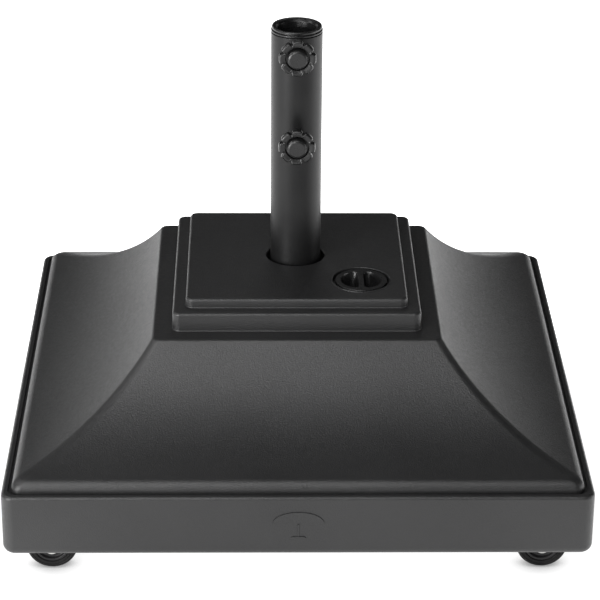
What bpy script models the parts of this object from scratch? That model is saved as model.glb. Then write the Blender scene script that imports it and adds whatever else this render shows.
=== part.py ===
"""Square fillable parasol base on four swivel casters, with a clamped pole socket.

Metres, +Z up. The origin is on the ground under the middle of the base, and -Y is the front,
where the two clamp knobs are. Everything is worked out from the driving dimensions below.
"""
from math import acos, atan2, cos, degrees, pi, radians, sin

import bmesh
import bpy
from mathutils import Matrix, Vector

# ---- Driving dimensions -------------------------------------------------------------------
GAP = 0.0003                 # clearance between faces that touch

BASE_WIDTH = 0.600           # skirt, side to side
BASE_CORNER = 0.013          # plan radius of the skirt's corners
UNDERSIDE_Z = 0.0435
SKIRT_TOP_Z = 0.1113
BOTTOM_FILLET = 0.009
LEDGE_FILLET = 0.004
DRAFT = 0.0002               # slight slope of the moulded upright faces
GROOVE_DEPTH = 0.003         # groove between the skirt's ledge and the rim
GROOVE_WIDTH = 0.003
RIM_HALF = 0.290             # outer face of the rolled rim
RIM_ROLL = 0.012             # radius of the roll
RIM_ROLL_TURN = 74           # degrees of roll before the slope begins
RIM_CORNER = 0.0105
PLATEAU_HALF = 0.1506
PLATEAU_Z = 0.2148
PLATEAU_CORNER = 0.008
COVE_SAG = 0.0145            # how far the cove hangs below its chord
COVE_STEPS = 8
LOWER_PLINTH_HALF = 0.1305
LOWER_PLINTH_Z = 0.2352
UPPER_PLINTH_HALF = 0.1166
UPPER_PLINTH_Z = 0.2455
PLINTH_FILLET = 0.0032
PLINTH_CORNER = 0.0080
TANK_WALL = 0.004

TUBE_RADIUS = 0.0272
TUBE_WALL = 0.0015
TUBE_TOP_Z = 0.5012
WELL_RADIUS = 0.0312         # round opening in the plinth
WELL_SNUG_RADIUS = 0.0277    # the well below the opening, which holds the tube upright
WELL_FLOOR_Z = 0.062
WELL_OPENING_DEPTH = 0.016
FOOT_PLATE_THICKNESS = 0.008
FOOT_THREAD_DEPTH = 0.0055   # the blind hole in the foot plate that the bolt ends in
BOLT_RADIUS = 0.0050
BOLT_HOLE_RADIUS = 0.0055
BOLT_RECESS_RADIUS = 0.0200
BOLT_RECESS_TOP = WELL_FLOOR_Z - 0.008
WASHER_RADIUS = 0.0140
WASHER_THICKNESS = 0.002
BOLT_HEAD_RADIUS = 0.0095
BOLT_HEAD_HEIGHT = 0.0065

SLEEVE_BORE = 0.0192
SLEEVE_TOP_Z = 0.5077
SLEEVE_LENGTH = 0.152
SLEEVE_SLOT_HALF = 0.0085
SLEEVE_FLANGE_RADIUS = 0.0272
SLEEVE_COLLAR_RADIUS = 0.0264    # the step on top of the flange
SLEEVE_LEAD_IN = 0.009           # depth of the funnel at the sleeve's mouth

KNOB_HEIGHTS = (("upper", 0.4882), ("lower", 0.3898))
KNOB_RADIUS = 0.0194
KNOB_BACK = 0.0357           # distances below are from the tube's axis, along the stud
KNOB_LOBE_BACK = 0.0455      # the lobed rim is only the front of the grip
KNOB_FRONT = 0.0530
KNOB_LOBES = 8
CAP_RADIUS = 0.0106
CAP_GROOVE = 0.0007          # open ring round the cap
CAP_FACE = 0.0570
CAP_SEAT = KNOB_FRONT - 0.0055
STUD_HEAD_RADIUS = 0.0064
STUD_HEAD_HEIGHT = 0.0046
NUT_RADIUS = 0.0080
NUT_HEIGHT = 0.0048
STUD_RADIUS = 0.0040
PAD_FACE = 0.0205            # inner face of the clamp pad, just outside the sleeve's bore
PAD_THICKNESS = 0.0016
PAD_RADIUS = 0.0060

PLUG_PLACE = (0.0691, -0.0678)
PLUG_RADIUS = 0.0280         # the disc, which lies in a counterbore
PLUG_HEIGHT = 0.0190
POCKET_WEB_HALF = 0.0030     # half the web between the two finger pockets
POCKET_REACH = 0.0200        # from the plug's axis to the pockets' round side
POCKET_FLOOR = 0.0030
COUNTERBORE_RADIUS = 0.0305
COUNTERBORE_DEPTH = 0.0026
LIP_RADIUS = 0.0325          # thin raised lip round the counterbore
LIP_HEIGHT = 0.0008
GASKET_SEAT_RADIUS = 0.0277
GASKET_SEAT_DEPTH = 0.0012
NECK_BORE = 0.0245
NECK_DEPTH = 0.020
NECK_COLLAR_RADIUS = 0.0345  # thicker wall behind the counterbore
NECK_COLLAR_DEPTH = 0.010

CASTER_X = 0.237             # swivel axes, from the middle
CASTER_Y = 0.2415
CASTER_TRAIL = 0.017
WHEEL_RADIUS = 0.027
TYRE_WIDTH = 0.019
POCKET_RADIUS = 0.048
PLATE_TOP_Z = 0.0650
PLATE_THICKNESS = 0.0025
PLATE_HALF = 0.028
SCREW_PLACE = 0.0205
SCREW_TIP_Z = 0.0735
CROWN_TOP_Z = 0.0600
CROWN_THICKNESS = 0.0025
LEG_INNER = 0.0112
LEG_THICKNESS = 0.0020
BRAKE_PIVOT = (CASTER_TRAIL + 0.0235, WHEEL_RADIUS + 0.0215)

COLLECTION_NAME = "parasol_base"
CUTTER_COLLECTION_NAME = "parasol_base_cutters"


# ---- Scene and materials ------------------------------------------------------------------
def clear_scene():
    for item in list(bpy.data.objects):
        bpy.data.objects.remove(item, do_unlink=True)


def make_collection(name):
    collection = bpy.data.collections.new(name)
    bpy.context.scene.collection.children.link(collection)
    return collection


def make_material(name, colour, roughness, metallic=0.0):
    material = bpy.data.materials.new(name)
    material.use_nodes = True
    shader = material.node_tree.nodes["Principled BSDF"]
    shader.inputs["Base Color"].default_value = (*colour, 1.0)
    shader.inputs["Roughness"].default_value = roughness
    shader.inputs["Metallic"].default_value = metallic
    return material


clear_scene()
PARTS = make_collection(COLLECTION_NAME)
CUTTERS = make_collection(CUTTER_COLLECTION_NAME)

TANK_PLASTIC = make_material("tank_plastic", (0.045, 0.045, 0.046), 0.55)
BLACK_PLASTIC = make_material("black_plastic", (0.022, 0.022, 0.023), 0.38)
POWDER_STEEL = make_material("powder_coated_steel", (0.050, 0.050, 0.052), 0.48, 0.2)
ZINC_STEEL = make_material("zinc_plated_steel", (0.55, 0.55, 0.56), 0.32, 1.0)
RUBBER = make_material("black_rubber", (0.014, 0.014, 0.014), 0.80)
WHEEL_PLASTIC = make_material("wheel_plastic", (0.020, 0.020, 0.021), 0.45)


# ---- Shape helpers ------------------------------------------------------------------------
def add_object(name, data, material=None, parent=None):
    """Links an object; without a material it is a cutter."""
    item = bpy.data.objects.new(name, data)
    if material is None:
        CUTTERS.objects.link(item)
        item.hide_render = True
        item.display_type = "WIRE"
    else:
        PARTS.objects.link(item)
        data.materials.clear()
        data.materials.append(material)
    if parent is not None:
        item.parent = parent
    return item


def add_empty(name, place, rotation=(0.0, 0.0, 0.0), parent=None):
    item = bpy.data.objects.new(name, None)
    item.location = place
    item.rotation_euler = rotation
    item.empty_display_size = 0.02
    PARTS.objects.link(item)
    if parent is not None:
        item.parent = parent
    return item


def shade_round(item, angle=radians(35)):
    item.data.shade_smooth()
    item.data.set_sharp_from_angle(angle=angle)


def arc(centre, radius, start, end, steps):
    """Points along an arc, angles in degrees, both ends included."""
    turn = [radians(start + (end - start) * step / steps) for step in range(steps + 1)]
    return [(centre[0] + radius * cos(angle), centre[1] + radius * sin(angle)) for angle in turn]


def circle(centre, radius, steps):
    return arc(centre, radius, 0, 360, steps)[:-1]


def turned(name, profile, steps, material=None, parent=None):
    """A body of revolution about Z. The profile (radius, z) runs down its outer side; one that
    ends on the axis is solid, and any other is closed into a ring."""
    mesh = bpy.data.meshes.new(name)
    points = [(radius, 0.0, z) for radius, z in profile]
    edges = [(index, index + 1) for index in range(len(points) - 1)]
    if profile[0][0] > 0.0:
        edges.append((len(points) - 1, 0))
    mesh.from_pydata(points, edges, [])
    item = add_object(name, mesh, material, parent)
    screw = item.modifiers.new("turn", "SCREW")
    screw.axis = "Z"
    screw.angle = 2.0 * pi
    screw.steps = steps
    screw.render_steps = steps
    screw.use_merge_vertices = True
    screw.merge_threshold = 0.00001
    screw.use_smooth_shade = True
    return item


def solid_mesh(item):
    """The item's evaluated mesh, welded, with the item and its modifiers removed."""
    bpy.context.view_layer.update()
    evaluated = item.evaluated_get(bpy.context.evaluated_depsgraph_get())
    mesh = bpy.data.meshes.new_from_object(evaluated)
    work = bmesh.new()
    work.from_mesh(mesh)
    bmesh.ops.remove_doubles(work, verts=work.verts, dist=0.000005)
    bmesh.ops.recalc_face_normals(work, faces=work.faces)
    work.to_mesh(mesh)
    work.free()
    bpy.data.objects.remove(item, do_unlink=True)
    return mesh


def flat_plate(name, outline, holes, thickness, material=None, parent=None):
    """A flat outline in XY with holes, of the given thickness, centred on Z = 0."""
    curve = bpy.data.curves.new(name, "CURVE")
    curve.dimensions = "2D"
    curve.fill_mode = "BOTH"
    curve.extrude = thickness / 2
    for loop in [outline, *holes]:
        spline = curve.splines.new("POLY")
        spline.points.add(len(loop) - 1)
        for point, (x, y) in zip(spline.points, loop):
            point.co = (x, y, 0.0, 1.0)
        spline.use_cyclic_u = True
    guide = bpy.data.objects.new(name, curve)
    CUTTERS.objects.link(guide)
    mesh = solid_mesh(guide)
    bpy.data.curves.remove(curve)
    mesh.name = name
    return add_object(name, mesh, material, parent)


def rounded_square(half, corner, steps=3):
    """Corner points of a square with rounded corners, anticlockwise from +X."""
    inner = half - corner
    points = []
    for quarter, (x, y) in enumerate(((1, 1), (-1, 1), (-1, -1), (1, -1))):
        points += arc((x * inner, y * inner), corner, 90 * quarter, 90 * quarter + 90, steps)
    return points


def loft_squares(name, rings, material=None):
    """A closed body through rounded squares (half width, height, corner radius), bottom up."""
    work = bmesh.new()
    loops = []
    for half, z, corner in rings:
        loops.append([work.verts.new((x, y, z)) for x, y in rounded_square(half, corner)])
    count = len(loops[0])
    for lower, upper in zip(loops, loops[1:]):
        for index in range(count):
            after = (index + 1) % count
            work.faces.new((lower[index], lower[after], upper[after], upper[index]))
    work.faces.new(reversed(loops[0]))
    work.faces.new(loops[-1])
    mesh = bpy.data.meshes.new(name)
    work.to_mesh(mesh)
    work.free()
    return add_object(name, mesh, material)


def place_mesh(item, place=(0, 0, 0), turn=None):
    """Moves the mesh inside its object, so that the object's origin stays on its axis."""
    matrix = Matrix.Translation(place)
    if turn is not None:
        matrix = matrix @ turn
    item.data.transform(matrix)
    return item


def boolean(item, other, operation="DIFFERENCE"):
    modifier = item.modifiers.new(operation.lower(), "BOOLEAN")
    modifier.operation = operation
    modifier.solver = "EXACT"
    modifier.object = other
    return item


def cylinder_mesh(name, radius, low, high, steps):
    mesh = bpy.data.meshes.new(name)
    work = bmesh.new()
    middle = Matrix.Translation((0, 0, (low + high) / 2))
    bmesh.ops.create_cone(work, cap_ends=True, segments=steps, radius1=radius, radius2=radius,
                          depth=high - low, matrix=middle)
    work.to_mesh(mesh)
    work.free()
    return mesh


def cylinders(name, pieces, material=None, parent=None):
    """One object of upright cylinders (x, y, radius, low, high, steps)."""
    work = bmesh.new()
    for x, y, radius, low, high, steps in pieces:
        middle = Matrix.Translation((x, y, (low + high) / 2))
        bmesh.ops.create_cone(work, cap_ends=True, segments=steps, radius1=radius,
                              radius2=radius, depth=high - low, matrix=middle)
    mesh = bpy.data.meshes.new(name)
    work.to_mesh(mesh)
    work.free()
    return add_object(name, mesh, material, parent)


# ---- Tank ---------------------------------------------------------------------------------
def cove_points(offset, steps):
    """The concave slope from the rim roll up to the plateau's edge, as (half, z), bottom up.
    A positive offset gives the same slope that far inside the tank."""
    turn = radians(RIM_ROLL_TURN)
    foot = Vector((RIM_HALF - RIM_ROLL * (1 - cos(turn)), SKIRT_TOP_Z + RIM_ROLL * sin(turn)))
    head = Vector((PLATEAU_HALF, PLATEAU_Z))
    chord = head - foot
    span = chord.length
    radius = (span / 2) ** 2 / (2 * COVE_SAG) + COVE_SAG / 2
    normal = Vector((-chord.y, chord.x)).normalized()
    if normal.y < 0:
        normal = -normal
    centre = (foot + head) / 2 + normal * (radius - COVE_SAG)
    start = atan2(foot.y - centre.y, foot.x - centre.x)
    end = atan2(head.y - centre.y, head.x - centre.x)
    points = []
    for step in range(steps + 1):
        angle = start + (end - start) * step / steps
        points.append((centre.x + (radius + offset) * cos(angle),
                       centre.y + (radius + offset) * sin(angle)))
    return points


def rim_rings():
    """From the underside up the skirt, over its ledge, through the groove and round the rim."""
    half = BASE_WIDTH / 2
    rings = []
    for x, z in arc((half - BOTTOM_FILLET, UNDERSIDE_Z + BOTTOM_FILLET), BOTTOM_FILLET, -90, 0, 3):
        rings.append((x, z, BASE_CORNER - half + x))
    for x, z in arc((half - LEDGE_FILLET, SKIRT_TOP_Z - LEDGE_FILLET), LEDGE_FILLET, 0, 90, 3):
        rings.append((x, z, BASE_CORNER - half + x))
    floor_z = SKIRT_TOP_Z - GROOVE_DEPTH
    rings.append((RIM_HALF + GROOVE_WIDTH + DRAFT, SKIRT_TOP_Z, RIM_CORNER))
    rings.append((RIM_HALF + GROOVE_WIDTH, floor_z, RIM_CORNER))
    rings.append((RIM_HALF + DRAFT, floor_z, RIM_CORNER))
    for x, z in arc((RIM_HALF - RIM_ROLL, SKIRT_TOP_Z), RIM_ROLL, 0, RIM_ROLL_TURN - 18, 3):
        rings.append((x, z, RIM_CORNER))
    return rings


def slope_rings():
    """The cove, and the small round at its upper edge."""
    rings = []
    slope = cove_points(0.0, COVE_STEPS)
    for step, (x, z) in enumerate(slope[:-1]):
        share = step / COVE_STEPS
        rings.append((x, z, RIM_CORNER + (PLATEAU_CORNER - RIM_CORNER) * share))
    edge = Vector(slope[-1])
    near = edge + (Vector(slope[-2]) - edge) * 0.175
    rings.append((near.x, near.y, PLATEAU_CORNER))
    rings.append((edge.x - 0.0012, edge.y - 0.0006, PLATEAU_CORNER - 0.001))
    rings.append((edge.x - 0.0040, PLATEAU_Z, PLATEAU_CORNER - 0.002))
    return rings


def plinth_rings():
    rings = []
    for half, low, high in ((LOWER_PLINTH_HALF, PLATEAU_Z, LOWER_PLINTH_Z),
                            (UPPER_PLINTH_HALF, LOWER_PLINTH_Z, UPPER_PLINTH_Z)):
        rings.append((half + DRAFT, low, PLINTH_CORNER + DRAFT))
        for x, z in arc((half - PLINTH_FILLET, high - PLINTH_FILLET), PLINTH_FILLET, 0, 90, 3):
            rings.append((x, z, PLINTH_CORNER - half + x))
    return rings


def tank_inside():
    """Rings of the hollow, one wall inside the skin."""
    half = BASE_WIDTH / 2 - TANK_WALL
    ledge_z = SKIRT_TOP_Z - GROOVE_DEPTH - TANK_WALL
    rings = [(half - 0.008, UNDERSIDE_Z + TANK_WALL, 0.006), (half, UNDERSIDE_Z + 0.012, 0.009),
             (half, ledge_z - 0.002, 0.009), (half - 0.003, ledge_z, 0.009),
             (RIM_HALF - TANK_WALL - 0.001, ledge_z, 0.008)]
    slope = cove_points(TANK_WALL, COVE_STEPS // 2)
    rings.append((slope[0][0], slope[0][1], 0.007))
    rings += [(x, z, 0.006) for x, z in slope[1:-1]]
    rings.append((PLATEAU_HALF - TANK_WALL, PLATEAU_Z - TANK_WALL, 0.005))
    for half, low, high in ((LOWER_PLINTH_HALF, PLATEAU_Z, LOWER_PLINTH_Z),
                            (UPPER_PLINTH_HALF, LOWER_PLINTH_Z, UPPER_PLINTH_Z)):
        rings.append((half - TANK_WALL, low - TANK_WALL + GAP, 0.004))
        rings.append((half - TANK_WALL, high - TANK_WALL, 0.004))
    return rings


def corner_places(x, y):
    return [(side_x * x, side_y * y) for side_x in (-1, 1) for side_y in (-1, 1)]


def hollow_cutter(bottom, top):
    """The hollow, less the walls round the caster pockets, the well and the fill neck."""
    hollow = loft_squares("hollow_cutter", tank_inside())
    post_top = PLATE_TOP_Z + 0.014
    posts = [(x, y, POCKET_RADIUS + TANK_WALL, bottom, post_top, 24)
             for x, y in corner_places(CASTER_X, CASTER_Y)]
    posts.append((0, 0, WELL_RADIUS + TANK_WALL, bottom, top, 32))
    boolean(hollow, cylinders("posts_cutter", posts))
    for label, radius, depth in (("neck", NECK_BORE + TANK_WALL, NECK_DEPTH),
                                 ("neck_collar", NECK_COLLAR_RADIUS, NECK_COLLAR_DEPTH)):
        boolean(hollow, cylinders(f"{label}_cutter",
                                  [(*PLUG_PLACE, radius, UPPER_PLINTH_Z - depth, top, 28)]))
    return hollow


def well_cutter(top):
    opening_z = UPPER_PLINTH_Z - WELL_OPENING_DEPTH
    return turned("well_cutter", [(0.0, top), (WELL_RADIUS, top), (WELL_RADIUS, opening_z),
                                  (WELL_SNUG_RADIUS, opening_z - 0.004),
                                  (WELL_SNUG_RADIUS, WELL_FLOOR_Z), (0.0, WELL_FLOOR_Z)], 32)


def fill_cutter(top):
    floor_z = UPPER_PLINTH_Z - COUNTERBORE_DEPTH
    low = UPPER_PLINTH_Z - NECK_DEPTH - 0.004
    fill = turned("fill_cutter", [(0.0, top), (COUNTERBORE_RADIUS, top),
                                  (COUNTERBORE_RADIUS, floor_z), (GASKET_SEAT_RADIUS, floor_z),
                                  (GASKET_SEAT_RADIUS, floor_z - GASKET_SEAT_DEPTH),
                                  (NECK_BORE, floor_z - GASKET_SEAT_DEPTH),
                                  (NECK_BORE, low), (0.0, low)], 28)
    fill.location = (*PLUG_PLACE, 0.0)
    return fill


def build_tank():
    bottom = UNDERSIDE_Z - 0.01
    top = UPPER_PLINTH_Z + 0.01
    tank = loft_squares("tank", rim_rings() + slope_rings() + plinth_rings(), TANK_PLASTIC)
    boolean(tank, hollow_cutter(bottom, top))
    lip = cylinders("fill_lip_cutter", [(*PLUG_PLACE, LIP_RADIUS, UPPER_PLINTH_Z - 0.002,
                                         UPPER_PLINTH_Z + LIP_HEIGHT, 28)])
    boolean(tank, lip, "UNION")
    boolean(tank, well_cutter(top))
    boolean(tank, fill_cutter(top))
    recess = [(0, 0, BOLT_HOLE_RADIUS, bottom, WELL_FLOOR_Z + 0.005, 24),
              (0, 0, BOLT_RECESS_RADIUS, bottom, BOLT_RECESS_TOP, 24)]
    for number, cut in enumerate(recess):
        boolean(tank, cylinders(f"bolt_{number}_cutter", [cut]))
    pockets = [(x, y, POCKET_RADIUS, bottom, PLATE_TOP_Z + GAP, 32)
               for x, y in corner_places(CASTER_X, CASTER_Y)]
    boolean(tank, cylinders("pocket_cutter", pockets))
    pilots = []
    for x, y in corner_places(CASTER_X, CASTER_Y):
        for shift_x, shift_y in corner_places(SCREW_PLACE, SCREW_PLACE):
            pilots.append((x + shift_x, y + shift_y, 0.0023, PLATE_TOP_Z - 0.004,
                           SCREW_TIP_Z + 0.001, 6))
    boolean(tank, cylinders("pilot_cutter", pilots))
    shade_round(tank)
    return tank


# ---- Socket tube, its foot and the reducer sleeve -----------------------------------------
def build_tube():
    axis = add_empty("tube_axis", (0, 0, 0))
    bore = TUBE_RADIUS - TUBE_WALL
    foot_z = WELL_FLOOR_Z + GAP
    tube = turned("centre_tube", [(TUBE_RADIUS - 0.0004, TUBE_TOP_Z),
                                  (TUBE_RADIUS, TUBE_TOP_Z - 0.0004),
                                  (TUBE_RADIUS, foot_z), (bore, foot_z), (bore, TUBE_TOP_Z)],
                  32, POWDER_STEEL, axis)
    for label, height in KNOB_HEIGHTS:
        hole = add_object(f"{label}_stud_hole_cutter",
                          cylinder_mesh("stud_hole", PAD_RADIUS + 0.0005, 0.015, 0.035, 16))
        hole.parent = axis
        hole.location = (0, 0, height)
        hole.rotation_euler = (pi / 2, 0, 0)
        boolean(tube, hole)
    build_foot(foot_z, bore - GAP, axis)
    return axis


def build_foot(foot_z, radius, axis):
    """The plate in the tube's foot, with a blind hole for the bolt that comes up from below."""
    hole_z = foot_z + FOOT_THREAD_DEPTH
    hole_radius = BOLT_RADIUS + 0.0004
    turned("tube_foot_plate", [(0.0, foot_z + FOOT_PLATE_THICKNESS),
                               (radius, foot_z + FOOT_PLATE_THICKNESS), (radius, foot_z),
                               (hole_radius, foot_z), (hole_radius, hole_z), (0.0, hole_z)],
           32, POWDER_STEEL, axis)
    washer_z = BOLT_RECESS_TOP - GAP
    washer_low = washer_z - WASHER_THICKNESS
    turned("foot_washer", [(BOLT_HOLE_RADIUS, washer_z), (WASHER_RADIUS, washer_z),
                           (WASHER_RADIUS, washer_low), (BOLT_HOLE_RADIUS, washer_low)],
           24, ZINC_STEEL)
    head_z = washer_low - GAP
    head = add_object("foot_bolt", cylinder_mesh("foot_bolt", BOLT_HEAD_RADIUS,
                                                 head_z - BOLT_HEAD_HEIGHT, head_z, 6), ZINC_STEEL)
    shank = add_object("bolt_shank_cutter",
                       cylinder_mesh("bolt_shank", BOLT_RADIUS, head_z - 0.002,
                                     hole_z - 0.0005, 16))
    boolean(head, shank, "UNION")


def build_sleeve(axis):
    outer = TUBE_RADIUS - TUBE_WALL - GAP
    top = SLEEVE_TOP_Z
    under = TUBE_TOP_Z + GAP
    bottom = top - SLEEVE_LENGTH
    profile = [(SLEEVE_COLLAR_RADIUS - 0.0012, top), (SLEEVE_COLLAR_RADIUS, top - 0.0012),
               (SLEEVE_COLLAR_RADIUS, top - 0.0034), (SLEEVE_FLANGE_RADIUS, top - 0.0036),
               (SLEEVE_FLANGE_RADIUS, under), (outer, under), (outer, bottom),
               (SLEEVE_BORE, bottom), (SLEEVE_BORE, top - SLEEVE_LEAD_IN),
               (SLEEVE_BORE + 0.0011, top - 0.0030),
               (SLEEVE_COLLAR_RADIUS - 0.0016, top - 0.0002)]
    sleeve = turned("reducer_sleeve", profile, 28, BLACK_PLASTIC, axis)
    slot_top = KNOB_HEIGHTS[0][1] + SLEEVE_SLOT_HALF
    slot_low = bottom - 0.010
    slot = flat_plate("slot_cutter", [(-SLEEVE_SLOT_HALF, -0.035), (SLEEVE_SLOT_HALF, -0.035),
                                      (SLEEVE_SLOT_HALF, -0.010), (-SLEEVE_SLOT_HALF, -0.010)],
                      [], slot_top - slot_low)
    slot.parent = axis
    slot.location = (0, 0, (slot_top + slot_low) / 2)
    boolean(sleeve, slot)
    return sleeve


# ---- Clamp knobs --------------------------------------------------------------------------
def lobed_outline():
    """Round lobes with narrow notches between them."""
    points = []
    pitch = 360 / KNOB_LOBES
    for lobe in range(KNOB_LOBES):
        start = pitch * lobe + 22
        for share, radius in ((0.0, KNOB_RADIUS - 0.0026), (0.16, KNOB_RADIUS - 0.0004),
                              (0.5, KNOB_RADIUS), (0.84, KNOB_RADIUS - 0.0004)):
            angle = radians(start + pitch * share)
            points.append((radius * cos(angle), radius * sin(angle)))
    return points


def build_knob(label, height, tube_axis):
    """One clamp: the nut stays on the tube, the pad slides, and the rest turns as well."""
    axis = add_empty(f"{label}_knob_axis", (0, 0, height), (pi / 2, 0, 0), tube_axis)
    stud_hole = STUD_RADIUS + GAP
    nut = flat_plate(f"{label}_weld_nut", circle((0, 0), NUT_RADIUS, 6),
                     [circle((0, 0), stud_hole, 16)], NUT_HEIGHT, POWDER_STEEL, axis)
    place_mesh(nut, (0, 0, TUBE_RADIUS + GAP + NUT_HEIGHT / 2))

    thickness = KNOB_FRONT - KNOB_LOBE_BACK
    grip = flat_plate(f"{label}_knob_grip", lobed_outline(), [], thickness, BLACK_PLASTIC, axis)
    place_mesh(grip, (0, 0, KNOB_LOBE_BACK + thickness / 2))
    hub = turned(f"{label}_knob_hub_cutter",
                 [(0.0, KNOB_LOBE_BACK + 0.002), (0.0150, KNOB_LOBE_BACK + 0.002),
                  (0.0150, KNOB_LOBE_BACK - 0.0004), (0.0115, KNOB_BACK), (0.0, KNOB_BACK)],
                 20, None, axis)
    boolean(grip, hub, "UNION")
    head_seat = CAP_SEAT - STUD_HEAD_HEIGHT - 0.0004
    groove_radius = CAP_RADIUS + CAP_GROOVE
    bore = turned(f"{label}_knob_bore_cutter",
                  [(0.0, KNOB_FRONT + 0.002), (groove_radius, KNOB_FRONT + 0.002),
                   (groove_radius, CAP_SEAT), (STUD_HEAD_RADIUS + 0.0004, CAP_SEAT),
                   (STUD_HEAD_RADIUS + 0.0004, head_seat), (stud_hole, head_seat),
                   (stud_hole, KNOB_BACK - 0.002), (0.0, KNOB_BACK - 0.002)], 20, None, axis)
    boolean(grip, bore)
    turned(f"{label}_knob_cap", [(0.0, CAP_FACE), (CAP_RADIUS - 0.0018, CAP_FACE - 0.0004),
                                 (CAP_RADIUS - 0.0004, CAP_FACE - 0.0014),
                                 (CAP_RADIUS, CAP_FACE - 0.0030), (CAP_RADIUS, CAP_SEAT + GAP),
                                 (0.0, CAP_SEAT + GAP)], 24, BLACK_PLASTIC, axis)
    head_low = head_seat + GAP
    tip = PAD_FACE + PAD_THICKNESS + GAP
    turned(f"{label}_clamp_stud", [(0.0, CAP_SEAT - 0.0004), (STUD_HEAD_RADIUS, CAP_SEAT - 0.0004),
                                   (STUD_HEAD_RADIUS, head_low), (STUD_RADIUS, head_low),
                                   (STUD_RADIUS, tip), (0.0, tip)], 16, ZINC_STEEL, axis)
    turned(f"{label}_clamp_pad", [(0.0, PAD_FACE + PAD_THICKNESS),
                                  (PAD_RADIUS, PAD_FACE + PAD_THICKNESS),
                                  (PAD_RADIUS, PAD_FACE), (0.0, PAD_FACE)],
           16, RUBBER, axis)


# ---- Fill plug ----------------------------------------------------------------------------
def finger_pocket(side):
    """Outline of one D-shaped pocket, its straight side along the web between the two."""
    middle = 0 if side > 0 else 180
    spread = degrees(acos(POCKET_WEB_HALF / POCKET_REACH))
    return arc((0, 0), POCKET_REACH, middle - spread, middle + spread, 8)


def build_plug():
    axis = add_empty("plug_axis", (*PLUG_PLACE, 0.0))
    floor_z = UPPER_PLINTH_Z - COUNTERBORE_DEPTH
    seat = floor_z + GAP
    top = UPPER_PLINTH_Z + 0.0004
    foot = top - PLUG_HEIGHT
    body = NECK_BORE - 0.0006
    profile = [(0.0, top), (PLUG_RADIUS - 0.0004, top), (PLUG_RADIUS, top - 0.0004),
               (PLUG_RADIUS, seat), (body, seat), (body, foot + 0.001),
               (body - 0.001, foot), (0.0, foot)]
    plug = turned("fill_plug", profile, 28, BLACK_PLASTIC, axis)
    depth = PLUG_HEIGHT - POCKET_FLOOR
    for side in (-1, 1):
        pocket = flat_plate(f"finger_pocket_{side + 1}_cutter", finger_pocket(side), [],
                            depth + 0.002, None, axis)
        place_mesh(pocket, (0, 0, foot + POCKET_FLOOR + depth / 2 + 0.001))
        boolean(plug, pocket)
    inner = NECK_BORE + GAP
    outer = GASKET_SEAT_RADIUS - GAP
    low = floor_z - GASKET_SEAT_DEPTH + GAP
    turned("plug_gasket", [(inner, floor_z), (outer, floor_z), (outer, low), (inner, low)],
           28, RUBBER, axis)


# ---- Casters ------------------------------------------------------------------------------
SIDEWAYS = Matrix.Rotation(pi / 2, 4, "X")     # turns a shape about Z into one about the axle


def leg_outline(with_ear):
    """Side plate of the fork in its own plane: x along the trail, y upwards."""
    top = CROWN_TOP_Z - 0.0004
    points = [(-0.0130, top), (-0.0130, top - 0.0060)]
    points += arc((CASTER_TRAIL, WHEEL_RADIUS), 0.0080, 205, 375, 5)
    if with_ear:
        points += arc(BRAKE_PIVOT, 0.0034, -60, 100, 4)
    points.append((0.0240, top))
    return points


def build_yoke(name, with_ear, axis):
    crown_low = CROWN_TOP_Z - CROWN_THICKNESS
    pin_hole = 0.0052
    yoke = turned(name, [(0.0135, CROWN_TOP_Z + 0.0020), (0.0165, CROWN_TOP_Z + 0.0020),
                         (0.0165, CROWN_TOP_Z), (0.0195, CROWN_TOP_Z), (0.0195, crown_low),
                         (pin_hole, crown_low), (pin_hole, CROWN_TOP_Z),
                         (0.0135, CROWN_TOP_Z)], 20, ZINC_STEEL, axis)
    holes = [circle((CASTER_TRAIL, WHEEL_RADIUS), 0.0042, 10)]
    if with_ear:
        holes.append(circle(BRAKE_PIVOT, 0.0018, 8))
    for side in (-1, 1):
        leg = flat_plate(f"{name}_leg_{side + 1}_cutter", leg_outline(with_ear), holes,
                         LEG_THICKNESS, None, axis)
        place_mesh(leg, (0, side * (LEG_INNER + LEG_THICKNESS / 2), 0), SIDEWAYS)
        boolean(yoke, leg, "UNION")
    return yoke


def build_wheel(label, axis):
    half = TYRE_WIDTH / 2
    rim = 0.0190
    hub = turned(f"{label}_wheel_hub",
                 [(0.0044, 0.0108), (0.0075, 0.0108), (0.0075, 0.0055), (0.0145, 0.0055),
                  (rim - GAP, 0.0082), (rim - GAP, -0.0082), (0.0145, -0.0055),
                  (0.0075, -0.0055), (0.0075, -0.0108), (0.0044, -0.0108)],
                 16, WHEEL_PLASTIC, axis)
    tyre = turned(f"{label}_tyre",
                  [(rim, half - 0.0006), (0.0245, half - 0.0004), (0.0264, half - 0.0028),
                   (WHEEL_RADIUS, half - 0.0055), (WHEEL_RADIUS, 0.0055 - half),
                   (0.0264, 0.0028 - half), (0.0245, 0.0004 - half), (rim, 0.0006 - half)],
                  24, RUBBER, axis)
    return hub, tyre


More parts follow.
